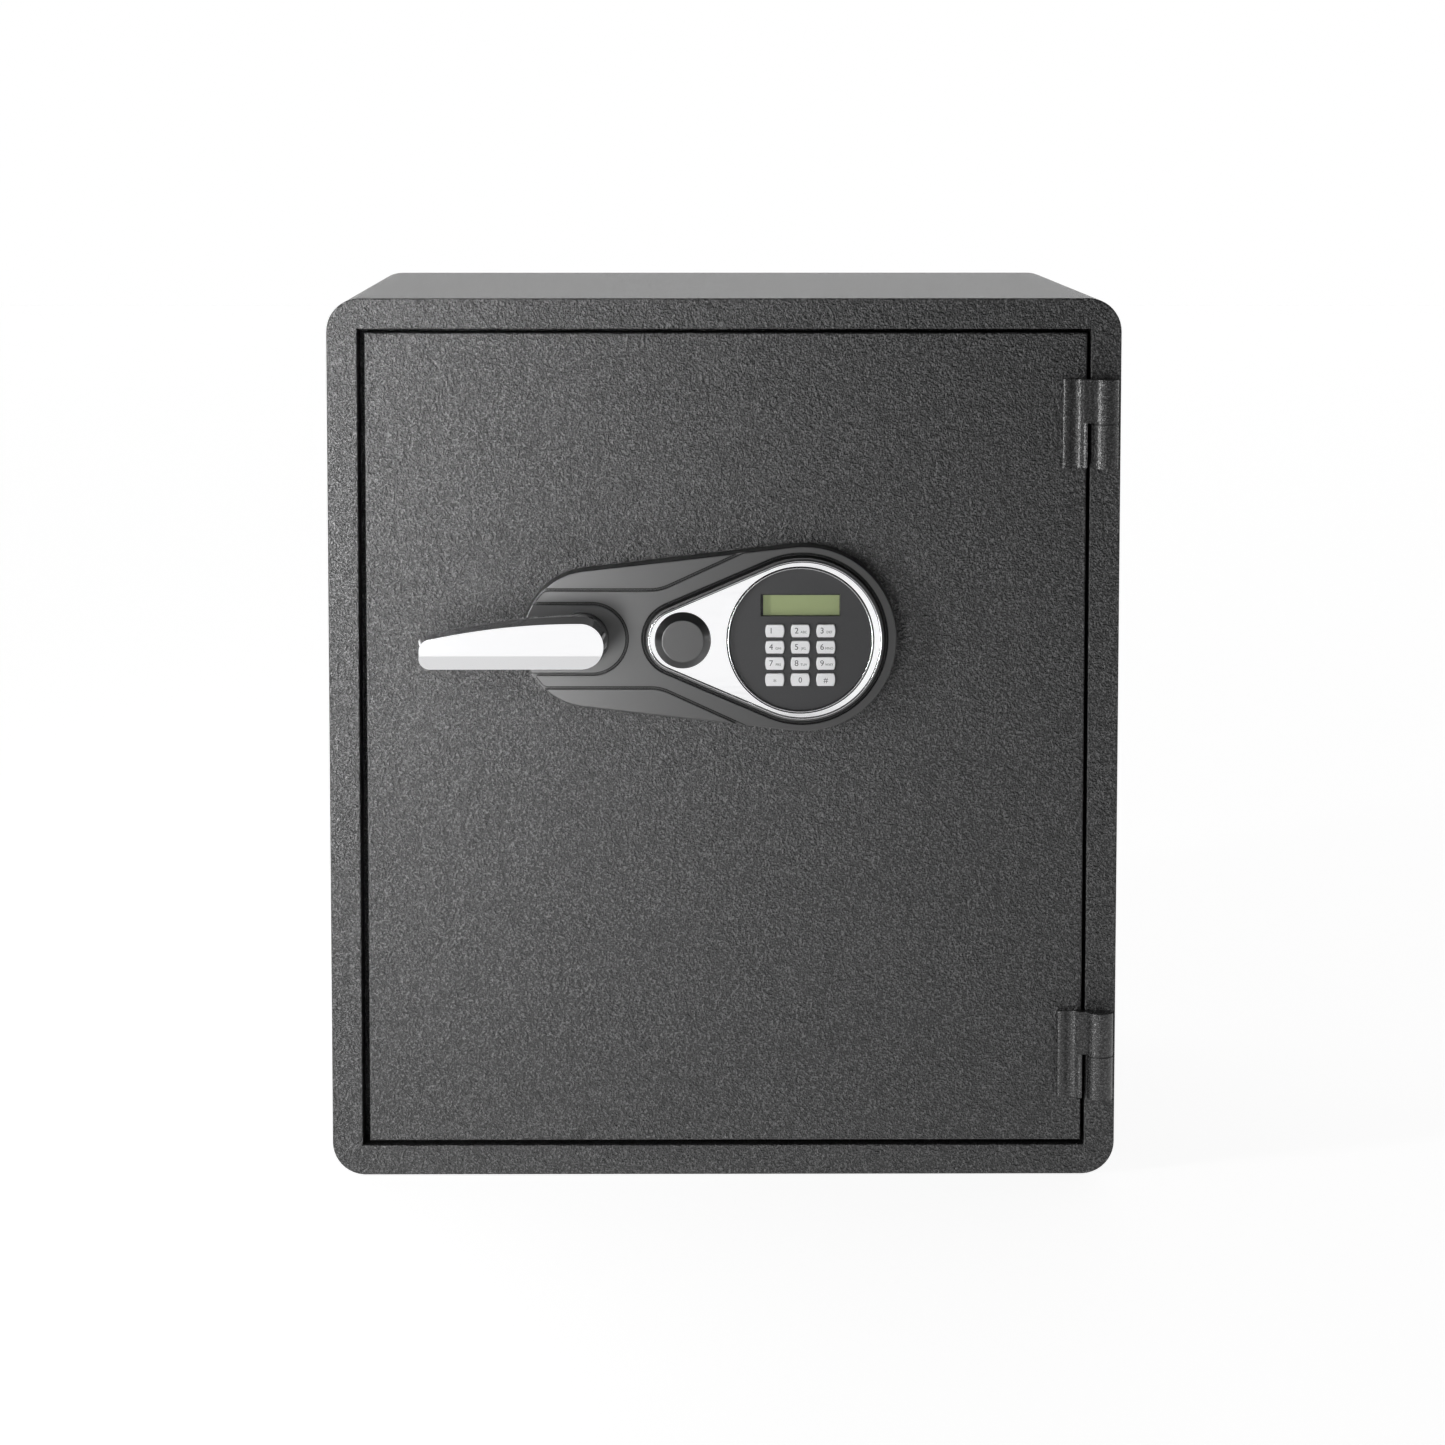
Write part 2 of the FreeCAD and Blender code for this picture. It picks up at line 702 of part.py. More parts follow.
def door_inner_cover():
    t = cover_sheet
    cover = block(plug_left, plug_right, slab_depth, plug_back, plug_bottom, plug_top)
    cover = round_at(cover, plug_back, cover_round)
    cover = cover.cut(block(plug_left + t, plug_right - t, slab_depth - over, plug_back - t,
                            plug_bottom + t, plug_top - t))
    cover = cover.cut(bolt_sockets(cover_bolt_gap, plug_left - over, plug_left + t + over))
    cover = cover.cut([rod_x(bolt_depth, z, dog_radius + fit_gap, plug_right - t - over, plug_right + over)
                       for z in dog_heights])
    y0, y1 = plug_back - t - over, plug_back + over
    x, z = battery_box_half_x + battery_wall, battery_box_half_z + fit_gap
    cover = cover.cut(block(-x, x, y0, y1, battery_box_z - z, battery_box_z + z))
    reach = flap_half_x + flap_pin_length + flap_gap
    cover = cover.cut(rod_x(flap_axis_y, flap_axis_z, flap_pin_radius + flap_pin_clearance, -reach, reach))
    return cover.cut(cover_posts(screw_radius + fit_gap, y0, y1))


def cross_screw(x, z, seat, length):
    """Cross-recess screw with its head on the plane at depth seat and its shank towards the front."""
    top = seat + screw_head_height
    head = rod_y(x, z, screw_head_radius, seat, top)
    head = head.makeFillet(screw_head_height / 2, front_edges(head, top))
    reach, half_slot = screw_slot_share * screw_head_radius, screw_slot_width / 2
    floor = seat + screw_head_height / 2
    head = head.cut([block(x - reach, x + reach, floor, top + over, z - half_slot, z + half_slot),
                     block(x - half_slot, x + half_slot, floor, top + over, z - reach, z + reach)])
    return head.fuse(rod_y(x, z, screw_radius - running_clearance, seat - length, seat)).removeSplitter()


def inner_cover_screws():
    places = [post.BoundBox.Center for post in cover_posts(post_radius, slab_depth, plug_back)]
    return group([cross_screw(place.x, place.z, plug_back, cover_sheet + screw_depth) for place in places])


def housing_screws():
    """Screws from behind the slab into the lock housing's bosses."""
    return group([cross_screw(x, z, slab_depth, slab_depth + screw_depth) for x, z in housing_screw_places()])


def door_seal():
    i = seal_inset
    y1 = recess_depth - seal_clearance
    ring = block(door_left + i, door_right - i, slab_depth, y1, door_bottom + i, door_top - i)
    i += seal_width
    ring = ring.cut(block(door_left + i, door_right - i, slab_depth - over, y1 + over,
                          door_bottom + i, door_top - i))
    return round_at(ring, y1, seal_round)


def hinge_side_dogs():
    """Fixed steel pins that stand behind the frame on the hinge side."""
    dogs = []
    root_x, tip_x = plug_right - cover_sheet - dog_root, plug_right + dog_reach
    for z in dog_heights:
        pin = rod_x(bolt_depth, z, dog_radius, root_x, tip_x)
        pin = pin.makeChamfer(nose_chamfer, [e for e in pin.Edges if e.BoundBox.XMin > tip_x - nose_chamfer])
        foot = block(root_x - dog_foot_length, root_x, slab_depth, bolt_depth + dog_radius,
                     z - dog_foot_half, z + dog_foot_half)
        dogs.append(pin.fuse(foot).removeSplitter())
    return group(dogs)


# ---------------------------------------------------------------- boltwork

def bolt_guide():
    """Angle bracket on the back plate whose upright flange guides the bolts."""
    x0 = plug_left + cover_sheet + guide_gap
    reach = bolt_radius + guide_margin
    z0, z1 = bolt_heights[0] - reach, bolt_heights[-1] + reach
    upright = block(x0, x0 + guide_sheet, slab_depth, bolt_depth + bolt_radius + guide_rim, z0, z1)
    foot = block(x0, x0 + guide_foot, slab_depth, slab_depth + guide_sheet, z0, z1)
    guide = upright.fuse(foot).removeSplitter()
    return guide.cut(bolt_sockets(bolt_running_gap, x0 - over, x0 + guide_sheet + over))


def locking_bolts():
    bolts = []
    for z in bolt_heights:
        bolt = rod_x(bolt_depth, z, bolt_radius, bolt_nose_x, carriage_flange_x)
        nose = [e for e in bolt.Edges if e.BoundBox.XMax < bolt_nose_x + nose_chamfer]
        bolts.append(bolt.makeChamfer(nose_chamfer, nose))
    return group(bolts)


def crank_pin_place():
    """Where the crank pin stands with the lever level: below the spindle, half the travel to the right."""
    angle = math.radians(crank_travel_deg / 2)
    return vec(spindle_x + crank_radius * math.sin(angle), 0, lock_z - crank_radius * math.cos(angle))


def bolt_carriage():
    """Upright flange that carries the bolts, and a web that the crank pin drives."""
    y0, y1 = carriage_depth, carriage_depth + carriage_sheet
    reach = bolt_radius + flange_margin
    flange = block(carriage_flange_x, carriage_flange_x + carriage_sheet, y0, bolt_depth + bolt_radius,
                   bolt_heights[0] - reach, bolt_heights[-1] + reach)
    web_bottom = lock_z - web_height / 2
    web = block(carriage_flange_x, web_right, y0, y1, web_bottom, lock_z + web_height / 2)
    y0, y1 = y0 - over, y1 + over
    notch_x = plunger_x + bolt_travel
    web = web.cut(block(notch_x - notch_width / 2, notch_x + notch_width / 2, y0, y1,
                        web_bottom - over, web_bottom + notch_height))
    web = web.cut(stadium(spindle_x, spindle_x + bolt_travel, lock_z, spindle_radius + slot_gap, y0, y1))
    low = lock_z - crank_radius - crank_pin_play
    high = crank_pin_place().z + crank_pin_play
    slot = upright_slot(crank_pin_place().x, low, high, crank_pin_radius + crank_pin_play, y0, y1)
    return flange.fuse(web.cut(slot)).removeSplitter()


def handle_spindle():
    return spindle_hole(spindle_radius, spindle_front, crank_depth + crank_sheet)


def handle_crank():
    """Arm on the spindle whose pin throws the carriage as the lever is lifted."""
    y0, y1 = crank_depth, crank_depth + crank_sheet
    pin = crank_pin_place()
    hub = spindle_hole(spindle_radius + crank_hub_wall, y0, y1)
    arm = stadium(spindle_x, spindle_x + crank_radius, lock_z, crank_pin_radius + crank_end_wall, y0, y1)
    arm.rotate(vec(spindle_x, 0, lock_z), vec(0, 1, 0), 90 - crank_travel_deg / 2)
    crank = hub.fuse(arm).cut(spindle_hole(spindle_radius + press_gap, y0 - over, y1 + over))
    return crank.fuse(rod_y(pin.x, pin.z, crank_pin_radius, carriage_depth - over, y0)).removeSplitter()


def spindle_rear_bush():
    y0, y1 = slab_depth - back_plate_sheet, slab_depth
    sleeve = spindle_hole(bush_radius, y0, y1)
    flange = spindle_hole(bush_radius + bush_flange_width, y1, y1 + bush_flange_sheet)
    bore = spindle_hole(spindle_radius + running_clearance, y0 - over, y1 + bush_flange_sheet + over)
    return sleeve.fuse(flange).removeSplitter().cut(bore)


def handle_collar():
    """Flanged bush that carries the spindle where it leaves the housing."""
    front = housing_face - collar_height
    flange = round_at(spindle_hole(collar_radius, front, housing_face), front, edge_round)
    sleeve = spindle_hole(bush_radius, housing_face, door_sheet)
    bore = spindle_hole(spindle_radius + running_clearance, front - over, door_sheet + over)
    return flange.fuse(sleeve).removeSplitter().cut(bore)


def lever_outline(y, root_drop, middle_drop, tip_drop, end_gap):
    """Front view of the grip: round at the spindle, tapering to the tip, level along the bottom."""
    def at(x, z):
        return vec(spindle_x + x, y, lock_z + z)

    root, tip_x = grip_root_top - root_drop, end_gap - lever_reach
    tip_top = grip_tip_top - tip_drop
    r = grip_tip_round
    turn = r * math.sqrt(0.5)
    top = Part.Arc(at(0, root), at(-lever_reach / 2, grip_middle_top - middle_drop), at(tip_x + r, tip_top))
    over_tip = Part.Arc(at(tip_x + r, tip_top), at(tip_x + r - turn, tip_top - r + turn),
                        at(tip_x, tip_top - r))
    tip = Part.LineSegment(at(tip_x, tip_top - r), at(tip_x, r - grip_bottom))
    under_tip = Part.Arc(at(tip_x, r - grip_bottom), at(tip_x + r - turn, r - turn - grip_bottom),
                         at(tip_x + r, -grip_bottom))
    bottom = Part.LineSegment(at(tip_x + r, -grip_bottom), at(0, -grip_bottom))
    end = Part.Arc(at(0, -grip_bottom), at((root + grip_bottom) / 2, (root - grip_bottom) / 2), at(0, root))
    return Part.Wire([g.toShape() for g in (top, over_tip, tip, under_tip, bottom, end)])


def grip_bevel(x0, x1, front):
    """Wedge that takes the lower part of the grip's front back from its crease."""
    crease, low = lock_z - grip_crease, lock_z - grip_bottom
    away = front - over
    corners = [(front, crease), (front + grip_slope, low), (front + grip_slope, low - over),
               (away, low - over), (away, crease), (front, crease)]
    outline = Part.makePolygon([vec(x0, y, z) for y, z in corners])
    return Part.Face(outline).extrude(vec(x1 - x0, 0, 0))


def lever_handle():
    """Grip on a round neck; above its flat front a band slopes back, and the lower front slopes too."""
    front = -lever_proud
    shoulder, back = front + grip_band_depth, front + grip_thickness
    face = lever_outline(front, grip_root_band, grip_middle_band, grip_tip_band, grip_tip_bevel)
    grip = Part.makeLoft([face, lever_outline(shoulder, 0, 0, 0, 0)], True, True)
    rear = prism(lever_outline(shoulder, 0, 0, 0, 0), back - shoulder)
    grip = grip.fuse(rear.makeFillet(grip_edge_round, front_edges(rear, back)))
    tip_x = spindle_x - lever_reach
    grip = grip.cut(grip_bevel(tip_x - over, spindle_x + grip_root_top + over, front))
    base = housing_face - collar_height - lever_gap
    neck = Part.makeCone(neck_base_radius, neck_front_radius, base - back + neck_overlap,
                         vec(spindle_x, base, lock_z), vec(0, -1, 0))
    lever = grip.fuse(neck).removeSplitter()
    return lever.cut(spindle_hole(spindle_radius + press_gap, spindle_front - spindle_end_room, 0))


# ---------------------------------------------------------------- lock housing and keypad

def band_wire(points, radii, offset):
    """Edges of a path with rounded corners, moved sideways by offset. Points are (x, z) at depth 0."""
    flat = [vec(x, 0, z) for x, z in points]
    runs = [(b - a).normalize() for a, b in zip(flat, flat[1:])]

    def side(run):
        return vec(-run.z, 0, run.x)

    corners = [flat[0] + side(runs[0]) * offset]
    turns = []
    for i in range(1, len(flat) - 1):
        a, b = runs[i - 1], runs[i]
        turn = math.atan2(a.x * b.z - a.z * b.x, a.dot(b))
        middle = (side(a) + side(b)).normalize()
        corners.append(flat[i] + middle * (offset / math.cos(turn / 2)))
        turns.append(turn)
    corners.append(flat[-1] + side(runs[-1]) * offset)
    edges, start = [], corners[0]
    for i, turn in enumerate(turns, 1):
        radius = radii[i - 1] - offset * math.copysign(1, turn)
        back = radius * math.tan(abs(turn) / 2)
        first = corners[i] - runs[i - 1] * back
        last = corners[i] + runs[i] * back
        inward = (runs[i] - runs[i - 1]).normalize()
        centre_distance = radius / math.cos(turn / 2)
        middle = corners[i] + inward * (centre_distance - radius)
        edges += [Part.LineSegment(start, first).toShape(), Part.Arc(first, middle, last).toShape()]
        start = last
    edges.append(Part.LineSegment(start, corners[-1]).toShape())
    return edges


def groove(points, radii, y):
    """A cutter for a groove of constant width along a path, from just in front of depth y inwards."""
    one, other = (band_wire(points, radii, side * groove_width / 2) for side in (1, -1))
    ends = [(one[0].Vertexes[0].Point, other[0].Vertexes[0].Point),
            (one[-1].Vertexes[-1].Point, other[-1].Vertexes[-1].Point)]
    caps = [Part.LineSegment(a, b).toShape() for a, b in ends]
    wire = Part.Wire(Part.__sortEdges__(one + other + caps))
    wire.translate(vec(0, y - over, lock_z))
    return prism(wire, over + groove_depth)


def housing_grooves():
    slope = math.radians(outer_groove_slope_deg)
    far = 2 * housing_right_radius

    def edge_x(z):
        return housing_left_x - math.sqrt(housing_left_radius ** 2 - z ** 2)

    outer = [(edge_x(inner_groove_radius), inner_groove_radius),
             (edge_x(outer_groove_offset), outer_groove_offset),
             (outer_groove_bend_x, outer_groove_offset),
             (outer_groove_bend_x + far * math.cos(slope), outer_groove_offset + far * math.sin(slope))]
    left = housing_left_x - housing_left_radius - groove_width
    r = inner_groove_radius
    inner = [(left, r), (housing_left_x + r, r), (housing_left_x + r, -r), (left, -r)]
    nearly_round = r - 0.01
    cutters = [groove(inner, [nearly_round, nearly_round], housing_face)]
    radii = [outer_groove_corner_radius, outer_groove_bend_radius]
    for side in (1, -1):
        cutters.append(groove([(x, side * z) for x, z in outer], radii, housing_face))
    return cutters


def pedestal_groove():
    """Narrow groove round the foot of the pedestal that carries the bezel."""
    foot = pedestal_margin + pedestal_draft
    front, deep = housing_face - over, over + pedestal_groove_depth
    ring = prism(bezel_wire(foot + pedestal_groove_width, front), deep)
    return ring.cut(prism(bezel_wire(foot, front), deep + over))


def lock_housing():
    """Hollow shell with grooves, a raised pedestal for the bezel, and bosses behind its face."""
    body = Part.makeLoft([housing_wire(housing_draft, 0), housing_wire(0, housing_face)], True, True)
    body = round_at(body, housing_face, edge_round)
    body = body.cut(housing_grooves()).cut(pedestal_groove())
    foot = bezel_wire(pedestal_margin + pedestal_draft, housing_face + over)
    body = body.fuse(Part.makeLoft([foot, bezel_wire(pedestal_margin, pedestal_face)], True, True))
    wall_back = housing_face + housing_wall
    hollow = prism(housing_wire(-housing_wall, wall_back), over - wall_back)
    bosses = [rod_y(x, z, screw_boss_radius, housing_face, 0) for x, z in housing_screw_places()]
    bosses += [spindle_hole(collar_radius, housing_face, 0),
               override_hole(override_boss_radius, housing_face, 0)]
    body = body.cut(hollow.cut(bosses))
    bores = [rod_y(x, z, screw_radius, -screw_depth - fit_gap, over) for x, z in housing_screw_places()]
    front = pedestal_face - over
    bores += [rod_y(keypad_x, lock_z, keypad_radius + fit_gap, front, panel_back),
              rod_y(keypad_x, lock_z, keypad_opening_radius, front, wall_back + over),
              spindle_hole(bush_radius + fit_gap, front, over),
              override_hole(override_body_radius + fit_gap, housing_face + override_shoulder, over),
              override_hole(cap_stem_radius + cap_stem_gap, front, over)]
    return body.cut(bores).removeSplitter()


def chrome_bezel():
    """Teardrop plate with a raised rim, open over the keypad and round the override lock."""
    front = pedestal_face - bezel_rim_height
    plate = round_at(prism(bezel_wire(0, front), bezel_rim_height), front, bezel_rim_round)
    inner = prism(bezel_wire(-bezel_rim_width, front - over), over + bezel_rim_height - bezel_web_height)
    disc = rod_y(keypad_x, lock_z, keypad_radius + fit_gap, front - over, pedestal_face + over)
    cap_hole = override_hole(cap_stem_radius + bezel_cap_gap, front - over, pedestal_face + over)
    return plate.cut([inner, disc, cap_hole]).removeSplitter()


def key_wire(grow, y, x, z):
    """Outline of a key: straight top and bottom, bulging sides."""
    a, b, h = key_waist / 2 + grow, key_width / 2 + grow, key_height / 2 + grow
    right = Part.Arc(vec(x + a, y, z - h), vec(x + b, y, z), vec(x + a, y, z + h))
    left = Part.Arc(vec(x - a, y, z + h), vec(x - b, y, z), vec(x - a, y, z - h))
    top = Part.LineSegment(vec(x + a, y, z + h), vec(x - a, y, z + h))
    bottom = Part.LineSegment(vec(x - a, y, z - h), vec(x + a, y, z - h))
    return Part.Wire([g.toShape() for g in (right, top, left, bottom)])


def key_places():
    names = ["1", "2", "3", "4", "5", "6", "7", "8", "9", "star", "0", "hash"]
    return {name: (keypad_x + (i % 3 - 1) * key_pitch_x, lock_z + key_top_row_z - (i // 3) * key_pitch_z)
            for i, name in enumerate(names)}


def key_cap(x, z):
    face = panel_face - key_proud
    key = prism(key_wire(0, face, x, z), key_back - face)
    upright = [e for e in key.Edges if abs(e.tangentAt(e.FirstParameter).y) > 0.99]
    key = key.makeFillet(key_side_round, upright)
    return round_at(key, face, key_face_round)


def display_block(margin, y0, y1):
    w, h, z = display_width / 2 + margin, display_height / 2 + margin, lock_z + display_z
    return block(keypad_x - w, keypad_x + w, y0, y1, z - h, z + h)


def keypad_panel():
    panel = round_at(rod_y(keypad_x, lock_z, keypad_radius, panel_face, panel_back), panel_face, panel_round)
    front, length = panel_face - over, panel_back - panel_face + 2 * over
    holes = [prism(key_wire(key_gap, front, x, z), length) for x, z in key_places().values()]
    return panel.cut(holes + [display_block(0, front, panel_back + over)])


def display_lens():
    return display_block(0, lens_face, lens_back)


def display_module():
    return display_block(display_margin, panel_back, panel_back + display_thickness)


def keypad_mat():
    """Contact mat behind all the keys, inside the housing's round opening."""
    places = key_places()
    x0, z1 = places["1"]
    x1, z0 = places["hash"]
    side, end = key_width / 2 + mat_margin, key_height / 2 + mat_margin
    mat = block(x0 - side, x1 + side, mat_face, board_face, z0 - end, z1 + end)
    return mat.common(rod_y(keypad_x, lock_z, keypad_opening_radius - board_gap, mat_face, board_face))


def circuit_board():
    """Round board in the housing's opening, with its controller on the back."""
    back = board_face + board_thickness
    board = rod_y(keypad_x, lock_z, keypad_opening_radius - board_gap, board_face, back)
    h, z = chip_size / 2, lock_z - chip_drop
    chip = block(keypad_x - h, keypad_x + h, back, back + chip_height, z - h / 2, z + h / 2)
    return board.fuse(chip).removeSplitter()


def override_cap():
    """Round cap that hides the key lock; its stem plugs over the lock's nose."""
    rear = bezel_web_face - cap_gap
    face = rear - cap_height
    rim_front = rear - cap_rim
    cone = Part.makeCone(cap_radius, cap_face_radius, rim_front - face, vec(override_x, rim_front, lock_z),
                         vec(0, -1, 0))
    cap = round_at(cone.fuse(override_hole(cap_radius, rim_front, rear)).removeSplitter(), face, edge_round)
    cap = cap.fuse(override_hole(cap_stem_radius, rim_front, housing_face + over)).removeSplitter()
    return cap.cut(override_hole(cap_stem_radius - cap_stem_wall, rim_front, housing_face + 2 * over))


def override_cylinder():
    """Body of the key lock: a wide barrel through the slab and a narrower nose in front."""
    shoulder = housing_face + override_shoulder
    barrel = override_hole(override_body_radius, shoulder, slab_depth)
    nose = override_hole(override_nose_radius, override_front, shoulder)
    bore = override_hole(override_plug_radius + running_clearance, override_front - over, slab_depth + over)
    return barrel.fuse(nose).removeSplitter().cut(bore)


def override_plug():
    plug = override_hole(override_plug_radius, override_front, slab_depth + cam_gap + cam_sheet + cam_gap)
    w, h = keyway_width / 2, keyway_height / 2
    return plug.cut(block(override_x - w, override_x + w,
                          override_front - over, override_front + keyway_depth, lock_z - h, lock_z + h))


def override_cam():
    y0 = slab_depth + cam_gap
    y1 = y0 + cam_sheet
    arm = upright_slot(override_x, lock_z - cam_length + cam_radius, lock_z, cam_radius, y0, y1)
    cam = arm.fuse(override_hole(cam_hub_radius, y0, y1)).removeSplitter()
    return cam.cut(override_hole(override_plug_radius + press_gap, y0 - over, y1 + over))


# ---------------------------------------------------------------- solenoid and battery box

def solenoid_places():
    """Top of the plunger at rest, top of the solenoid's frame, and the plunger's depth."""
    tip = lock_z - web_height / 2 - plunger_rest_gap
    return tip, tip - solenoid_drop, carriage_depth + carriage_sheet / 2 + plunger_offset


def solenoid_frame():
    """Open-sided steel frame, fixed to the slab, with the plunger through its top and bottom."""
    tip, top, y = solenoid_places()
    x0, x1 = plunger_x - solenoid_width / 2, plunger_x + solenoid_width / 2
    bottom, t = top - solenoid_height, solenoid_sheet
    frame = block(x0, x1, slab_depth, y + solenoid_reach, bottom, top)
    frame = frame.cut(block(x0 + t, x1 - t, slab_depth + t, y + solenoid_reach + over, bottom + t, top - t))
    return frame.cut(rod_z(plunger_x, y, plunger_radius + plunger_gap, bottom - over, top + over))


def solenoid_coil():
    tip, top, y = solenoid_places()
    z0, z1 = top - solenoid_height + solenoid_sheet, top - solenoid_sheet
    coil = rod_z(plunger_x, y, coil_radius, z0, z1)
    return coil.cut(rod_z(plunger_x, y, plunger_radius + coil_gap, z0 - over, z1 + over))


def solenoid_plunger():
    """Steel plunger with a flat tongue that reaches forward under the carriage's web."""
    tip, top, y = solenoid_places()
    neck = tip - tongue_sheet
    rod = rod_z(plunger_x, y, plunger_radius, top - solenoid_height - plunger_tail, neck)
    tongue = block(plunger_x - plunger_radius, plunger_x + plunger_radius, carriage_depth, y + plunger_radius,
                   neck, tip)
    return rod.fuse(tongue).removeSplitter()


def plunger_spring():
    """Return spring around the plunger, between the solenoid's frame and the tongue."""
    tip, top, y = solenoid_places()
    ends = spring_wire_radius + spring_end_gap
    rise = tip - tongue_sheet - top - 2 * ends
    helix = Part.makeLongHelix(spring_pitch, rise, spring_coil_radius)
    circle = Part.makeCircle(spring_wire_radius, vec(spring_coil_radius, 0, 0), vec(0, 1, 0))
    spring = Part.Wire(helix.Edges).makePipeShell([Part.Wire([circle])], True, True)
    spring.translate(vec(plunger_x, y, top + ends))
    return spring


def battery_holder():
    """Tray behind the inner cover's opening, with a flange against the cover."""
    x, z, t, f = battery_box_half_x, battery_box_half_z, battery_wall, battery_flange
    y0, y1 = plug_back - battery_box_depth, plug_back - cover_sheet
    tray = block(-x - t, x + t, y0, y1, battery_box_z - z, battery_box_z + z)
    flange = block(-x - t - f, x + t + f, y1 - t, y1, battery_box_z - z - f, battery_box_z + z + f)
    inside = block(-x, x, y0 + t, y1 + over, battery_box_z - z + t, battery_box_z + z - t)
    return tray.fuse(flange).removeSplitter().cut(inside)


def batteries():
    """AA cells, one above the other."""
    y = plug_back - battery_box_depth + battery_wall + battery_radius
    start, end = -battery_length / 2, battery_length / 2
    cells = []
    for i in range(battery_count):
        z = battery_box_z + (i - (battery_count - 1) / 2) * battery_pitch
        can = rod_x(y, z, battery_radius, start, end - battery_button_length)
        cells.append(can.fuse(rod_x(y, z, battery_button_radius, start, end)).removeSplitter())
    return group(cells)


def battery_door():
    """Flap over the batteries on two end pins at its lower edge, with ribs to grip near its top."""
    x, top = flap_half_x, battery_box_z + flap_half_z
    flap = block(-x, x, plug_back - flap_sheet, plug_back, flap_axis_z, top)
    edge = rod_x(flap_axis_y, flap_axis_z, flap_sheet / 2, -x, x)
    pin = rod_x(flap_axis_y, flap_axis_z, flap_pin_radius, -x - flap_pin_length, x + flap_pin_length)
    rib_tops = [top - flap_rib_drop - 2.5 * flap_rib * i for i in range(3)]
    ribs = [block(-flap_rib_half, flap_rib_half, plug_back, plug_back + flap_rib, z - flap_rib, z)
            for z in rib_tops]
    return flap.fuse([edge, pin] + ribs).removeSplitter()


def build():
    os.makedirs("parts", exist_ok=True)
    cabinet = [outer_shell, front_frame, strike_plate, back_panel, cabinet_liner, anchor_sleeves,
               cabinet_insulation, shelf, shelf_clips]
    door = [door_skin, door_core, door_back_plate, door_inner_cover, inner_cover_screws, housing_screws,
            door_seal, hinge_side_dogs, bolt_guide, spindle_rear_bush, handle_collar, lock_housing,
            chrome_bezel, keypad_panel, display_lens, display_module, keypad_mat, circuit_board,
            override_cylinder, solenoid_frame, solenoid_coil, plunger_spring, battery_holder, batteries]
    moving = [locking_bolts, bolt_carriage, handle_spindle, handle_crank, lever_handle, override_cap,
              override_plug, override_cam, solenoid_plunger, battery_door]
    for make in cabinet + door + moving:
        save(make.__name__, make())
    for name, middle in hinge_middles.items():
        save(f"hinge_leaf_{name}", hinge_leaf(middle))
    save("frame_knuckles", group([frame_knuckle(z) for z in hinge_middles.values()]))
    save("hinge_pins", group([hinge_pin(z) for z in hinge_middles.values()]))
    save("hinge_washers", group([hinge_washer(z) for z in hinge_middles.values()]))
    for name, (x, z) in key_places().items():
        save(f"key_{name}", key_cap(x, z))


build()
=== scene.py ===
# Looks of the electronic cabinet safe: finishes, small details, studio and camera around the CAD frame.
import math

import bmesh
import bpy
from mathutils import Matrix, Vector


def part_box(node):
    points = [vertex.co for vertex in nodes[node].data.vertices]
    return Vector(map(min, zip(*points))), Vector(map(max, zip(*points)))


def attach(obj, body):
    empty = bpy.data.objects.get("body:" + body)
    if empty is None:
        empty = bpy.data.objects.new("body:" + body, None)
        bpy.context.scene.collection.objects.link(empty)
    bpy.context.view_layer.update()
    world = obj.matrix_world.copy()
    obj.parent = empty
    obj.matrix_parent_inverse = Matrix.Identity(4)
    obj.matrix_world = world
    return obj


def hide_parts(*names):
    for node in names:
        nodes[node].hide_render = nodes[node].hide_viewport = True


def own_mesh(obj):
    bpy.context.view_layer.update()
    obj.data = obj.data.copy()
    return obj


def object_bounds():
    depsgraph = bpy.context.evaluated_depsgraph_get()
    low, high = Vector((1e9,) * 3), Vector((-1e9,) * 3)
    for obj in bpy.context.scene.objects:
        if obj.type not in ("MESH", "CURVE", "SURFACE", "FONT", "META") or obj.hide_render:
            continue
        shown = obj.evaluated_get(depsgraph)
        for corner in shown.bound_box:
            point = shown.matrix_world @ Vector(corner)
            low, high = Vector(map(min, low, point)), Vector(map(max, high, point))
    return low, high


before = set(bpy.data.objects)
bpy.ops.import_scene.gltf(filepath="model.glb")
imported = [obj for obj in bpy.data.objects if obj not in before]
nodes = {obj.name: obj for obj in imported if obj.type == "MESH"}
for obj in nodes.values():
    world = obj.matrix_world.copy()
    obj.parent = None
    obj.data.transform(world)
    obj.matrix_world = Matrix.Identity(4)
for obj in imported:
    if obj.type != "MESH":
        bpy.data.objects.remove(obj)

MM = 0.001
cad_low, cad_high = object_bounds()

CREASE_SAMPLES = 8

# Bezel, in mm. A profile's points are (out from its outline, proud of the bezel's back).
WEB_RISE = 2.3
BEZEL_RIM = ((0.0, 0.0), (0.0, 1.9), (-0.12, 2.4), (-0.38, 2.75), (-0.65, 2.8), (-0.9, 2.5), (-1.0, 2.1),
             (-1.12, 1.95), (-1.28, 2.1), (-1.4, WEB_RISE))
KEYPAD_RING = ((0.05, 0.0), (0.05, 2.0), (0.15, 2.6), (0.4, 2.95), (0.7, 2.9), (0.92, 2.5), (1.05, 1.7),
               (1.15, 1.0), (1.5, 1.0), (1.5, 0.0))
RING_ROOM = 1.55             # the web's hole is this much larger than the keypad, all round
CAP_HOLE_RADIUS = 10.2
CAP_BORDER = 2.2             # width of the bezel to the left of the key cover

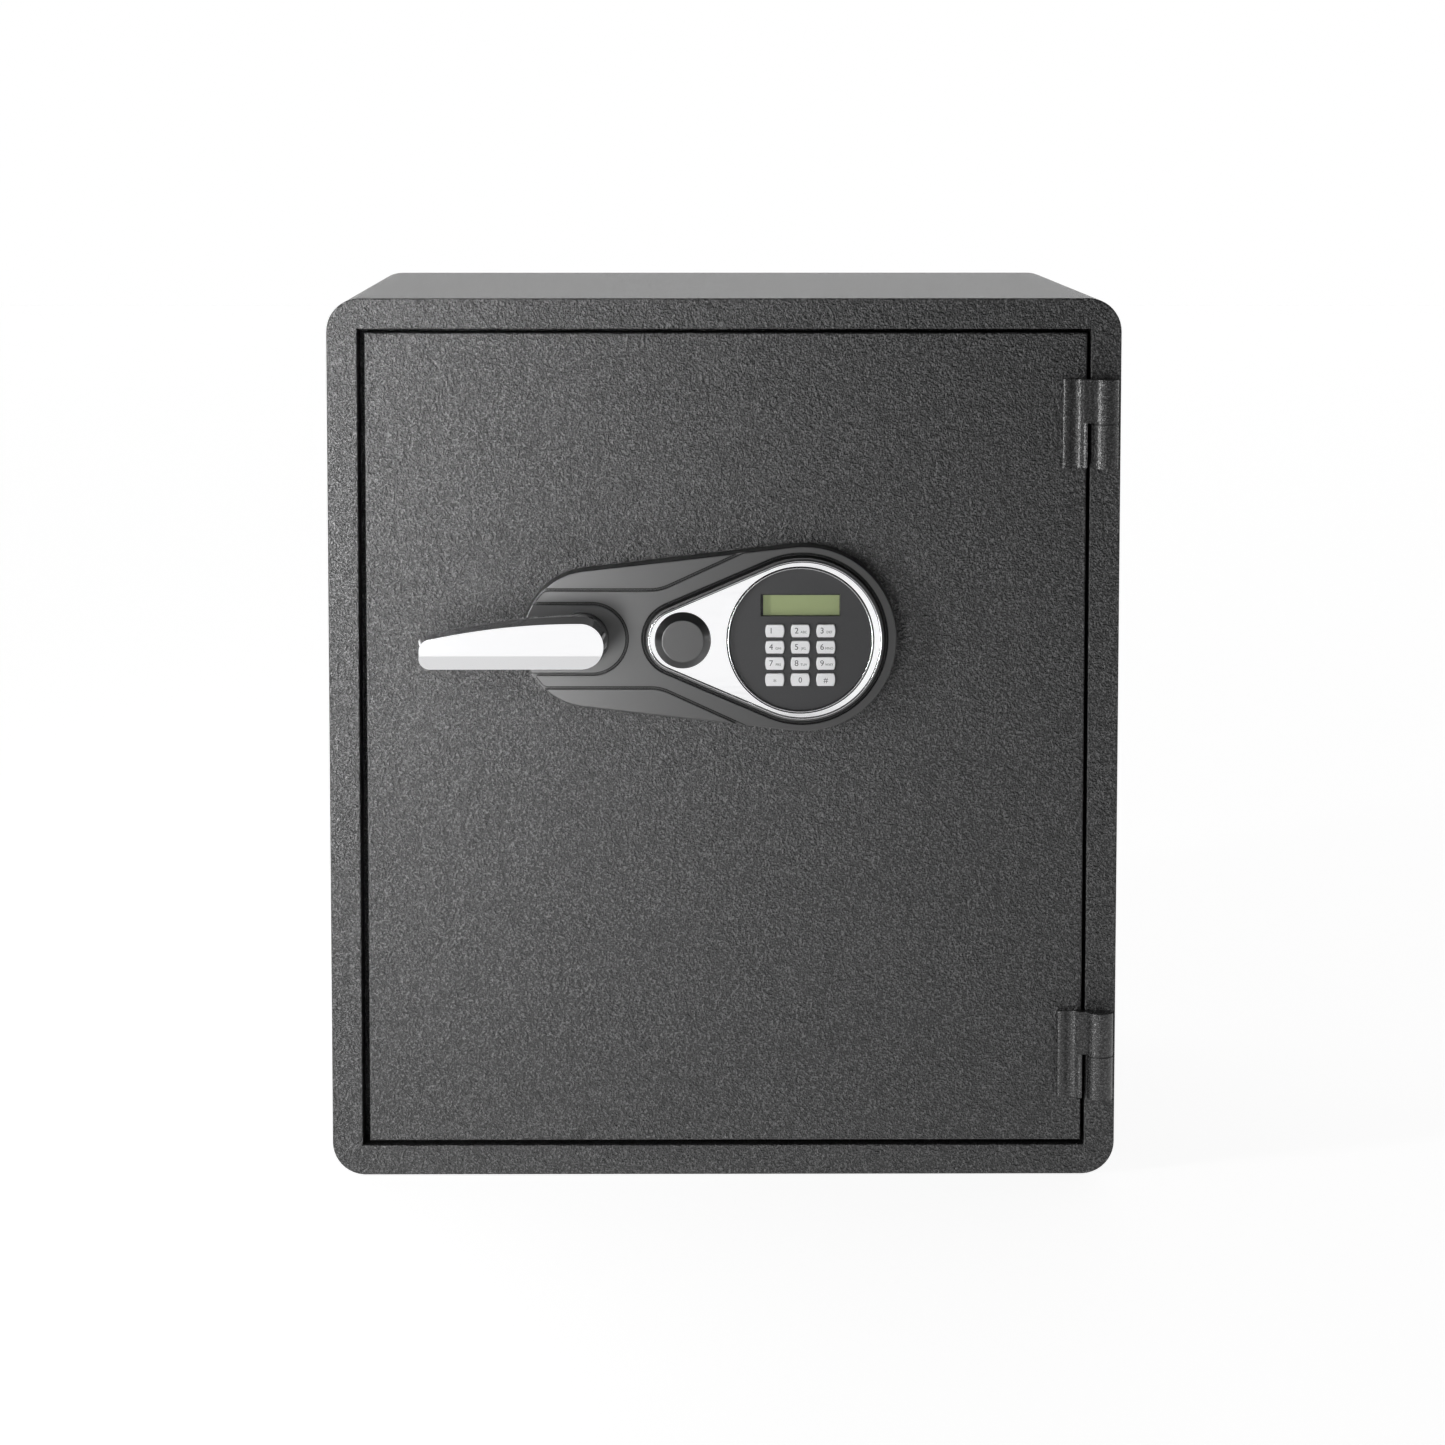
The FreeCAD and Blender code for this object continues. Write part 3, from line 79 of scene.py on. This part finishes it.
# Display, in mm
PANE_GAP = 0.25              # pane to the display behind it
PANE_BEVEL = ((0.0, 0.25), (0.08, 0.08), (0.25, 0.0))    # (inwards, back from the face)
PANE_CORNER = 0.5
# Black frame standing in for the shade of the window's recess on the display: painted shadow.
SHADOW_FRAME_GAP = 0.1               # painted shadow frame to the display behind it and to the window's sides
SHADOW_FRAME_HALF = 0.04             # half the painted shadow frame's thickness
SHADOW_FRAME_CORNER = 0.3
SHADOW_FRAME_LEFT_LOW, SHADOW_FRAME_RIGHT_HIGH = (1.5, 0.0, 0.3), (0.3, 0.0, 0.9)   # painted shadow frame's widths: left and below, right and above

# Legends, in mm
INK_HALF = 0.012             # half the ink's thickness
DIGIT_SIZE, SIGN_SIZE, LETTER_SIZE = 4.6, 4.2, 1.9
DIGIT_LEFT = 2.1             # digit left of its key's middle
LETTER_RIGHT, LETTER_DROP = 1.9, 0.7
LETTERS = {"2": "ABC", "3": "DEF", "4": "GHI", "5": "JKL", "6": "MNO", "7": "PRS", "8": "TUV", "9": "WXY"}
SIGNS = (("star", "*", 1.3), ("0", "0", 0.3), ("hash", "#", 0.3))   # key, sign, how far it is set down

# Studio, in metres
FLOOR_REACH = 12.0
FLOOR_SEEN = 0.9             # how bright the floor is to the eye
FLOOR_BANDS = ((-0.35, 0.5, 0.7, 0.645), (-3.2, 0.9, 1.1, 0.985))   # middle in Y, full to, gone at, strength
ROOM_BY_HEIGHT = (0.22, 0.02, 0.12, 0.5)     # level low down, level overhead, and where it changes
ROOM_BY_DEPTH = (0.87, 8.1, -0.2, 0.9)       # level in front, level behind, and where it changes


# ------------------------------------------------------------------ node helpers

class Graph:
    """A node tree whose nodes are added one after another."""

    def __init__(self, tree):
        self.tree = tree

    def add(self, kind, **inputs):
        """Adds a node and feeds the inputs named."""
        node = self.tree.nodes.new(kind)
        for name, value in inputs.items():
            self.feed(node.inputs[name.replace("_", " ")], value)
        return node

    def feed(self, socket, value):
        """Links a socket to another one, or sets it to a value."""
        if isinstance(value, bpy.types.NodeSocket):
            self.tree.links.new(value, socket)
        else:
            socket.default_value = value

    def maths(self, operation, one, other):
        node = self.add("ShaderNodeMath")
        node.operation = operation
        self.feed(node.inputs[0], one)
        self.feed(node.inputs[1], other)
        return node.outputs[0]

    def distance(self, value, place):
        """How far a coordinate is from a place on its axis."""
        return self.maths("ABSOLUTE", self.maths("SUBTRACT", value, place), 0.0)

    def span(self, value, low, high, start=0.25, end=0.75, interpolation="LINEAR"):
        """Maps start..end of a value to low..high."""
        node = self.add("ShaderNodeMapRange")
        node.interpolation_type = interpolation
        self.feed(node.inputs["Value"], value)
        for name, number in (("From Min", start), ("From Max", end), ("To Min", low), ("To Max", high)):
            node.inputs[name].default_value = number
        return node.outputs["Result"]

    def seen_or_cast(self, seen, cast):
        """One number for what the eye sees of the studio, another for the light that the object gets."""
        node = self.add("ShaderNodeMix")
        node.data_type = "FLOAT"
        self.feed(node.inputs["Factor"], self.add("ShaderNodeLightPath").outputs["Is Camera Ray"])
        self.feed(node.inputs["A"], cast)
        self.feed(node.inputs["B"], seen)
        return node.outputs["Result"]


class Shader(Graph):
    """A material with a principled shader at its end."""

    def __init__(self, name, colour, roughness, metallic=0.0):
        self.material = bpy.data.materials.new(name)
        self.material.use_nodes = True
        super().__init__(self.material.node_tree)
        self.shader = self.tree.nodes["Principled BSDF"]
        self.place = self.add("ShaderNodeTexCoord").outputs["Object"]
        self.set("Base Color", (*colour, 1.0))
        self.set("Roughness", roughness)
        self.set("Metallic", metallic)
        self.relief = None

    def set(self, socket, value):
        self.feed(self.shader.inputs[socket], value)

    def noise(self, size, detail=2.0, roughness=0.5, stretch=None):
        """Noise with features of about the given size in metres, longer along the stretched axes."""
        place = self.place
        if stretch:
            place = self.add("ShaderNodeMapping", Vector=place, Scale=[1 / s for s in stretch]).outputs[0]
        node = self.add("ShaderNodeTexNoise", Vector=place, Scale=1 / size, Detail=detail,
                        Roughness=roughness)
        return node.outputs["Fac"]

    def creases(self, reach):
        """1 in the open, less in grooves and inner corners that are narrower than the reach; the materials
        darken by it as painted shade.
        """
        node = self.add("ShaderNodeAmbientOcclusion", Distance=reach)
        node.only_local = True
        node.samples = CREASE_SAMPLES
        return node.outputs["AO"]

    def spots(self, size):
        """Cells of about the given size in metres: 0 in the middle of each."""
        node = self.add("ShaderNodeTexVoronoi", Vector=self.place, Scale=1 / size)
        return node.outputs["Distance"]

    def blend(self, factor, one, other):
        """The first colour where the factor is 0, the other where it is 1."""
        node = self.add("ShaderNodeMix")
        node.data_type = "RGBA"
        sockets = [s for s in node.inputs if s.enabled]
        for socket, value in zip(sockets, (factor, (*one, 1.0), (*other, 1.0))):
            self.feed(socket, value)
        return next(s for s in node.outputs if s.enabled)

    def bump(self, height, distance):
        """Adds relief of the given height in metres on top of what is there."""
        node = self.add("ShaderNodeBump", Height=height, Distance=distance, Strength=1.0)
        if self.relief:
            self.feed(node.inputs["Normal"], self.relief)
        self.relief = node.outputs["Normal"]
        self.set("Normal", self.relief)


# ------------------------------------------------------------------ materials

def powder_coat(name, relief, smoothness):
    """Charcoal powder coat with a fine sharp leather grain, its raised points painted a lighter colour as
    painted glints.
    """
    m = Shader(name, (0.04, 0.04, 0.042), 0.36)
    grain = m.noise(0.00098, detail=1.0, roughness=0.6)
    m.bump(grain, 0.00082 * relief)
    m.bump(m.noise(0.002, detail=1.0), 0.00066 * relief)
    # painted glints: the colour is made lighter where the grain is raised
    painted_glint = m.span(grain, 0.0, 1.0, 0.5, 0.7)
    m.set("Base Color", m.blend(painted_glint, (0.011, 0.011, 0.0115), (0.14, 0.14, 0.142)))
    m.set("Roughness", m.span(m.noise(0.0011), 0.3 * smoothness, 0.42 * smoothness))
    m.set("Specular IOR Level", 0.9)
    return m.material


def body_paint():
    """The coat of the cabinet and the door."""
    return powder_coat("body_paint", 1.0, 1.0)


def hinge_paint():
    """The same coat, thinner and glossier over the small hinges."""
    return powder_coat("hinge_paint", 0.3, 0.75)


def inner_paint():
    """Smooth light grey powder coat with a faint orange peel."""
    m = Shader("inner_paint", (0.36, 0.37, 0.38), 0.42)
    m.bump(m.noise(0.0022, detail=1.0), 0.00016)
    m.set("Base Color", m.blend(m.noise(0.09), (0.34, 0.35, 0.36), (0.38, 0.39, 0.4)))
    m.set("Roughness", m.span(m.noise(0.004), 0.36, 0.5))
    return m.material


def fill():
    """Cast mineral insulation, chalky with small pores."""
    m = Shader("fill", (0.55, 0.53, 0.49), 0.9)
    m.set("Base Color", m.blend(m.noise(0.012, detail=4.0), (0.5, 0.48, 0.44), (0.62, 0.6, 0.56)))
    m.bump(m.span(m.spots(0.004), 0.0, 1.0, 0.0, 0.3), 0.0004)
    m.bump(m.noise(0.001, detail=4.0), 0.0002)
    return m.material


def plated_steel():
    """Zinc plate with soft cloudy spangle and faint drawing lines."""
    m = Shader("plated_steel", (0.56, 0.57, 0.58), 0.3, metallic=1.0)
    m.set("Base Color", m.blend(m.noise(0.01, detail=3.0), (0.5, 0.51, 0.52), (0.62, 0.63, 0.64)))
    lines = m.noise(0.0005, detail=2.0, stretch=(1, 1, 30))
    m.set("Roughness", m.span(lines, 0.24, 0.4))
    m.bump(lines, 0.00002)
    return m.material


def polished_chrome():
    """Mirror chrome over slightly wavy polished metal, with hairline wipe marks, and painted shade darkening
    its colour in creases and inner corners.
    """
    m = Shader("polished_chrome", (0.86, 0.865, 0.87), 0.05, metallic=1.0)
    m.set("Roughness", m.span(m.noise(0.0006, detail=3.0, stretch=(25, 1, 1)), 0.03, 0.09))
    m.bump(m.noise(0.012, detail=0.0), 0.000003)
    # painted shade: colour darkened in creases and inner corners, from ambient occlusion
    free_of_painted_shade = m.span(m.creases(0.8 * MM), 0.0, 1.0, 0.5, 0.8)
    m.set("Base Color", m.blend(free_of_painted_shade, (0.12, 0.12, 0.125), (0.93, 0.93, 0.94)))
    return m.material


def housing_plastic():
    """Black satin moulded plastic with a very fine spark-eroded texture; in its grooves the colour and the
    reflection are darkened as painted shade.
    """
    m = Shader("housing_plastic", (0.02, 0.02, 0.021), 0.4)
    m.set("IOR", 1.75)
    m.set("Specular IOR Level", 0.9)
    m.bump(m.noise(0.00035, detail=2.0), 0.0000004)
    m.set("Roughness", m.span(m.noise(0.0007, detail=3.0), 0.3, 0.33))
    # painted shade: colour and reflection darkened in the grooves, from ambient occlusion
    free_of_painted_shade = m.span(m.creases(2 * MM), 0.0, 1.0, 0.6, 0.85)
    m.set("Base Color", m.blend(free_of_painted_shade, (0.002, 0.002, 0.002), (0.013, 0.013, 0.0135)))
    m.set("Specular Tint", m.blend(free_of_painted_shade, (0.05, 0.05, 0.05), (1.0, 1.0, 1.0)))
    return m.material


def panel_plastic():
    """Fine matt face of the keypad."""
    m = Shader("panel_plastic", (0.045, 0.045, 0.047), 0.55)
    m.bump(m.noise(0.00025, detail=2.0), 0.00003)
    m.set("Roughness", m.span(m.noise(0.0005), 0.48, 0.6))
    m.set("Base Color", m.blend(m.noise(0.0008), (0.04, 0.04, 0.042), (0.052, 0.052, 0.054)))
    return m.material


def key_plastic():
    """Light silver keys with fine flake in the lacquer."""
    m = Shader("key_plastic", (0.86, 0.86, 0.87), 0.35)
    flake = m.noise(0.00018, detail=1.0)
    m.set("Base Color", m.blend(m.span(flake, 0.0, 1.0), (0.82, 0.82, 0.83), (0.9, 0.9, 0.91)))
    m.set("Roughness", m.span(m.noise(0.0008), 0.3, 0.42))
    m.bump(flake, 0.00001)
    return m.material


def display_glass():
    """Clear pane: mostly see-through, with a sharp reflection."""
    m = Shader("display_glass", (0.02, 0.022, 0.02), 0.05)
    m.set("Alpha", 0.16)
    m.set("Specular IOR Level", 0.8)
    m.bump(m.noise(0.006, detail=1.0), 0.000008)
    return m.material


def display_face():
    """Blank liquid crystal: grey-green with a faint electrode grid."""
    m = Shader("display_face", (0.66, 0.78, 0.37), 0.5)
    cell, line = (0.66, 0.78, 0.37, 1.0), (0.63, 0.75, 0.35, 1.0)
    grid = m.add("ShaderNodeTexBrick", Vector=m.place, Scale=1.0, Mortar_Size=0.00004, Brick_Width=0.0022,
                 Row_Height=0.0035, Color1=cell, Color2=cell, Mortar=line)
    m.set("Base Color", grid.outputs["Color"])
    m.set("Roughness", m.span(m.noise(0.001), 0.45, 0.6))
    return m.material


def silicone():
    """Translucent grey rubber of the contact mat."""
    m = Shader("silicone", (0.35, 0.36, 0.37), 0.55)
    m.set("Subsurface Weight", 0.2)
    m.bump(m.noise(0.0008), 0.00003)
    m.set("Base Color", m.blend(m.noise(0.004), (0.32, 0.33, 0.34), (0.38, 0.39, 0.4)))
    return m.material


def board():
    """Green solder mask over faint copper tracks."""
    m = Shader("board", (0.02, 0.12, 0.05), 0.35)
    tracks = m.span(m.noise(0.0015, detail=0.0, stretch=(1, 1, 6)), 0.0, 1.0, 0.5, 0.54)
    m.set("Base Color", m.blend(tracks, (0.015, 0.1, 0.04), (0.03, 0.17, 0.06)))
    m.bump(tracks, 0.00003)
    return m.material


def brass_core():
    """Turned brass with fine lathe marks."""
    m = Shader("brass_core", (0.62, 0.52, 0.32), 0.28, metallic=1.0)
    turned = m.noise(0.0003, detail=2.0, stretch=(1, 20, 1))
    m.set("Roughness", m.span(turned, 0.2, 0.38))
    m.bump(turned, 0.00001)
    m.set("Base Color", m.blend(m.noise(0.004), (0.56, 0.47, 0.28), (0.68, 0.58, 0.37)))
    return m.material


def copper_coil():
    """Fine winding seen through amber tape."""
    m = Shader("copper_coil", (0.42, 0.16, 0.06), 0.4)
    wave = m.add("ShaderNodeTexWave", Vector=m.place, Scale=700.0, Distortion=0.3)
    wave.bands_direction = "Z"
    m.set("Base Color", m.blend(wave.outputs["Fac"], (0.25, 0.08, 0.03), (0.5, 0.2, 0.07)))
    m.bump(wave.outputs["Fac"], 0.0002)
    m.set("Coat Weight", 0.4)
    return m.material


def seal():
    """Black intumescent strip with a felt-like face."""
    m = Shader("seal", (0.022, 0.022, 0.023), 0.85)
    m.bump(m.noise(0.0009, detail=4.0), 0.0003)
    m.set("Base Color", m.blend(m.noise(0.0015, detail=4.0), (0.016, 0.016, 0.017), (0.034, 0.034, 0.036)))
    return m.material


def battery():
    """Plain black shrink sleeve."""
    m = Shader("battery", (0.03, 0.03, 0.033), 0.32)
    m.set("Coat Weight", 0.3)
    m.bump(m.noise(0.004), 0.00003)
    m.set("Roughness", m.span(m.noise(0.002), 0.26, 0.38))
    return m.material


def black_plastic():
    """Matt black moulded plastic."""
    m = Shader("black_plastic", (0.03, 0.03, 0.031), 0.45)
    m.bump(m.noise(0.0005, detail=3.0), 0.00005)
    m.set("Roughness", m.span(m.noise(0.001), 0.4, 0.52))
    m.set("Base Color", m.blend(m.noise(0.01), (0.026, 0.026, 0.027), (0.036, 0.036, 0.037)))
    return m.material


def legend_ink():
    """Grey pad-printed ink, a little uneven."""
    m = Shader("legend_ink", (0.06, 0.06, 0.062), 0.5)
    m.set("Base Color", m.blend(m.noise(0.0006, detail=2.0), (0.04, 0.04, 0.042), (0.08, 0.08, 0.083)))
    m.bump(m.noise(0.0003), 0.000005)
    return m.material


MAKERS = (body_paint, hinge_paint, inner_paint, fill, plated_steel, polished_chrome, housing_plastic,
          panel_plastic, key_plastic, display_glass, display_face, silicone, board, brass_core, copper_coil,
          seal, battery, black_plastic, legend_ink)
materials = {maker.__name__: maker() for maker in MAKERS}


def dress_frame():
    """Gives every CAD node the material of its slot, and the hinges their own coat."""
    for node in nodes.values():
        for slot in node.material_slots:
            name = slot.material.name.split(".")[0]
            slot.material = materials[name]
    for name in ("hinge_leaf_upper", "hinge_leaf_lower", "frame_knuckles"):
        for slot in nodes[name].material_slots:
            slot.material = materials["hinge_paint"]


# ------------------------------------------------------------------ pieces

class Piece:
    """A mesh built from closed loops of points, in metres."""

    def __init__(self):
        self.mesh = bmesh.new()

    def loop(self, points):
        return [self.mesh.verts.new(point) for point in points]

    def band(self, one, other):
        """Smooth faces between two loops with as many points."""
        for i in range(len(one)):
            j = (i + 1) % len(one)
            self.mesh.faces.new((one[i], one[j], other[j], other[i])).smooth = True

    def skin(self, loops, closed=False):
        for one, other in zip(loops, loops[1:] + (loops[:1] if closed else [])):
            self.band(one, other)

    def fill(self, *loops):
        """Flat faces inside the first loop and outside the others."""
        edges = []
        for loop in loops:
            for i, vert in enumerate(loop):
                pair = (vert, loop[(i + 1) % len(loop)])
                edges.append(self.mesh.edges.get(pair) or self.mesh.edges.new(pair))
        bmesh.ops.triangle_fill(self.mesh, use_beauty=True, edges=edges)

    def place(self, name, material, body, slot, replaced=()):
        bmesh.ops.recalc_face_normals(self.mesh, faces=self.mesh.faces)
        data = bpy.data.meshes.new(name)
        self.mesh.to_mesh(data)
        self.mesh.free()
        return place_mesh(name, data, material, body, replaced)


def place_mesh(name, data, material, body, replaced=()):
    """Puts a mesh in the scene as a piece that rides on a body."""
    data.materials.clear()
    data.materials.append(materials[material])
    piece = bpy.data.objects.new(name, data)
    bpy.context.scene.collection.objects.link(piece)
    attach(piece, body)
    if replaced:
        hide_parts(*replaced)
    return piece


def arc(x, z, radius, start, end, steps):
    """Points (x, z) along an arc, both ends included, angles in radians."""
    return [(x + radius * math.cos(start + (end - start) * i / steps),
             z + radius * math.sin(start + (end - start) * i / steps)) for i in range(steps + 1)]


def circle(x, z, radius, steps=128):
    return arc(x, z, radius, 0.0, 2 * math.pi, steps)[:-1]


def at_depth(points, y):
    return [Vector((x, y, z)) for x, z in points]


def middle(node):
    low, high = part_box(node)
    return (low + high) / 2


def half_size(node):
    low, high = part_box(node)
    return (high - low) / 2


def teardrop(grow):
    """Outline of the bezel, grown outwards: two arcs joined by their outer tangents."""
    low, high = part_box("chrome_bezel")
    right_radius = (high.z - low.z) / 2
    left_radius = half_size("override_cap").x + CAP_BORDER * MM
    left, right, z = low.x + left_radius, high.x - right_radius, (low.z + high.z) / 2
    lean = math.pi / 2 + math.asin((right_radius - left_radius) / (right - left))
    return (arc(right, z, right_radius + grow, -lean, lean, 72)
            + arc(left, z, left_radius + grow, lean, 2 * math.pi - lean, 36))


def bezel():
    """Chrome teardrop: rounded rim, fine groove, flat web, and a raised ring round the keypad."""
    piece = Piece()
    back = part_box("chrome_bezel")[1].y
    loops = [piece.loop(at_depth(teardrop(grow * MM), back - rise * MM)) for grow, rise in BEZEL_RIM]
    piece.skin(loops)
    keypad, cap = middle("keypad_panel"), middle("override_cap")
    radius = half_size("keypad_panel").x
    hole = circle(keypad.x, keypad.z, radius + RING_ROOM * MM)
    stem = circle(cap.x, cap.z, CAP_HOLE_RADIUS * MM, 64)
    holes = [[piece.loop(at_depth(points, back - rise * MM)) for rise in (0.0, WEB_RISE)]
             for points in (hole, stem)]
    for walls in holes:
        piece.skin(walls)
    piece.fill(loops[-1], *[walls[-1] for walls in holes])
    piece.fill(loops[0], *[walls[0] for walls in holes])
    piece.skin([piece.loop(at_depth(circle(keypad.x, keypad.z, radius + grow * MM), back - rise * MM))
                for grow, rise in KEYPAD_RING], closed=True)
    piece.place("bezel", "polished_chrome", "door", "polished_chrome", ["chrome_bezel"])


def rounded_rectangle(low, high, inset, radius, steps=8):
    x0, x1, z0, z1 = low.x + inset, high.x - inset, low.z + inset, high.z - inset
    points = []
    for x, z, turn in ((x1, z1, 0), (x0, z1, 1), (x0, z0, 2), (x1, z0, 3)):
        cx = x - math.copysign(radius, x - (x0 + x1) / 2)
        cz = z - math.copysign(radius, z - (z0 + z1) / 2)
        points += arc(cx, cz, radius, turn * math.pi / 2, (turn + 1) * math.pi / 2, steps)
    return points


def display_pane():
    """Clear window with polished edges, just clear of the display behind it."""
    low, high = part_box("display_lens")
    piece = Piece()
    edge = [(0.0, high.y - PANE_GAP * MM)]
    edge += [(inwards * MM, low.y + back * MM) for inwards, back in PANE_BEVEL]
    loops = [piece.loop(at_depth(rounded_rectangle(low, high, inset, PANE_CORNER * MM), y))
             for inset, y in edge]
    piece.skin(loops)
    piece.fill(loops[0])
    piece.fill(loops[-1])
    piece.place("display_pane", "display_glass", "door", "display_glass", ["display_lens"])


def painted_display_shadow():
    """Black frame in the window's depth, wider on the left and at the top: a painted shadow of the window's
    recess on the display.
    """
    low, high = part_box("display_lens")
    y = high.y - SHADOW_FRAME_GAP * MM
    outer = rounded_rectangle(low, high, SHADOW_FRAME_GAP * MM, SHADOW_FRAME_CORNER * MM)
    inner = rounded_rectangle(low + Vector(SHADOW_FRAME_LEFT_LOW) * MM, high - Vector(SHADOW_FRAME_RIGHT_HIGH) * MM, 0.0,
                              SHADOW_FRAME_CORNER * MM)
    piece = Piece()
    loops = [piece.loop(at_depth(points, y + side * SHADOW_FRAME_HALF * MM)) for points, side in
             ((outer, -1), (outer, 1), (inner, 1), (inner, -1))]
    piece.skin(loops, closed=True)
    piece.place("painted_display_shadow", "black_plastic", "door", "black_plastic")


def legend(name, text, body, x, z, face, size):
    """Printed character on a key, as a very thin mesh."""
    curve = bpy.data.curves.new(name, "FONT")
    curve.body = text
    curve.size = size
    curve.extrude = INK_HALF * MM
    curve.align_x, curve.align_y = "CENTER", "CENTER"
    source = bpy.data.objects.new(name, curve)
    bpy.context.scene.collection.objects.link(source)
    bpy.context.view_layer.update()
    data = bpy.data.meshes.new_from_object(source)
    bpy.data.objects.remove(source)
    for vert in data.vertices:
        vert.co = Vector((x + vert.co.x, face - INK_HALF * MM - vert.co.z, z + vert.co.y))
    place_mesh(name, data, "legend_ink", body)


def legends():
    """Digits with their telephone letters, and the two signs with the nought between them."""
    for key in "123456789":
        low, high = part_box(f"key_{key}")
        x, z = (low.x + high.x) / 2, (low.z + high.z) / 2
        legend(f"legend_{key}", key, f"button_{key}", x - DIGIT_LEFT * MM, z, low.y, DIGIT_SIZE * MM)
        if key in LETTERS:
            legend(f"letters_{key}", LETTERS[key], f"button_{key}", x + LETTER_RIGHT * MM,
                   z - LETTER_DROP * MM, low.y, LETTER_SIZE * MM)
    for key, sign, drop in SIGNS:
        low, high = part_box(f"key_{key}")
        x, z = (low.x + high.x) / 2, (low.z + high.z) / 2
        legend(f"legend_{key}", sign, f"button_{key}", x, z - drop * MM, low.y, SIGN_SIZE * MM)


def return_spring():
    """The plunger's spring, put in with a mesh of its own in place of the CAD node."""
    spring = place_mesh("return_spring", nodes["plunger_spring"].data.copy(), "plated_steel", "door",
                        ["plunger_spring"])
    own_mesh(spring)


# ------------------------------------------------------------------ studio

def floor():
    """Plain white floor. The light it throws at the object comes from two bands across, in front of it."""
    mesh = bpy.data.meshes.new("floor")
    corners = [(x, y, cad_low.z) for x, y in ((-FLOOR_REACH, -FLOOR_REACH), (FLOOR_REACH, -FLOOR_REACH),
                                              (FLOOR_REACH, FLOOR_REACH), (-FLOOR_REACH, FLOOR_REACH))]
    mesh.from_pydata(corners, [], [(0, 1, 2, 3)])
    plane = bpy.data.objects.new("floor", mesh)
    bpy.context.scene.collection.objects.link(plane)
    m = Shader("floor_white", (0.35, 0.35, 0.35), 0.8)
    m.set("Emission Color", (1.0, 1.0, 1.0, 1.0))
    depth = m.add("ShaderNodeSeparateXYZ", Vector=m.place).outputs["Y"]
    bands = [m.span(m.distance(depth, middle), strength, 0.0, full, gone)
             for middle, full, gone, strength in FLOOR_BANDS]
    m.set("Emission Strength", m.seen_or_cast(FLOOR_SEEN, m.maths("ADD", *bands)))
    mesh.materials.append(m.material)


def softbox(name, place, target, width, height, power, spread=180):
    """Rectangular lamp, sizes in metres and power in watts; spread is its beam's width in degrees."""
    light = bpy.data.lights.new(name, "AREA")
    light.shape = "RECTANGLE"
    light.size, light.size_y = width, height
    light.energy = power
    light.spread = math.radians(spread)
    lamp = bpy.data.objects.new(name, light)
    bpy.context.scene.collection.objects.link(lamp)
    lamp.location = place
    lamp.rotation_mode = "QUATERNION"
    lamp.rotation_quaternion = (Vector(target) - Vector(place)).to_track_quat("-Z", "Y")


def studio():
    """White backdrop for the eye. For the light, a room that is dark overhead and brighter behind."""
    world = bpy.data.worlds.new("studio")
    bpy.context.scene.world = world
    world.use_nodes = True
    room = Graph(world.node_tree)
    background = room.tree.nodes["Background"]
    background.inputs["Color"].default_value = (1, 1, 1, 1)
    direction = room.add("ShaderNodeSeparateXYZ", Vector=room.add("ShaderNodeTexCoord").outputs["Generated"])
    by_height = room.span(direction.outputs["Z"], *ROOM_BY_HEIGHT, interpolation="SMOOTHSTEP")
    by_depth = room.span(direction.outputs["Y"], *ROOM_BY_DEPTH, interpolation="SMOOTHSTEP")
    level = room.maths("MULTIPLY", by_height, by_depth)
    room.feed(background.inputs["Strength"], room.seen_or_cast(1.0, level))
    softbox("key", (-0.56, -1.3, 0.6), (-0.44, -0.2, 0.5), 0.3, 0.5, 1.5, 45)
    softbox("side", (-1.15, -0.9, 0.4), (-0.15, -0.2, 0.36), 0.09, 0.8, 8)
    softbox("sheen", (-0.42, -1.3, 0.14), (-0.25, -0.2, 0.28), 0.3, 0.3, 0.5, 55)
    bpy.context.scene.view_settings.view_transform = "Standard"


def camera():
    """Long lens in front, a little left of the middle and looking slightly down from above the top."""
    sideways, ahead, height = -0.0359, 2.538, 0.5906
    down, turn = 6.05, -0.398
    data = bpy.data.cameras.new("camera")
    data.sensor_width = 36.0
    data.lens = 114.3
    data.shift_x, data.shift_y = 0.0217, -0.08
    data.clip_end = 100.0
    eye = bpy.data.objects.new("camera", data)
    bpy.context.scene.collection.objects.link(eye)
    eye.location = (sideways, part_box("front_frame")[0].y - ahead, height)
    eye.rotation_euler = (math.radians(90 - down), 0, math.radians(turn))
    bpy.context.scene.camera = eye


camera()
studio()
floor()
dress_frame()
bezel()
painted_display_shadow()
display_pane()
legends()
return_spring()
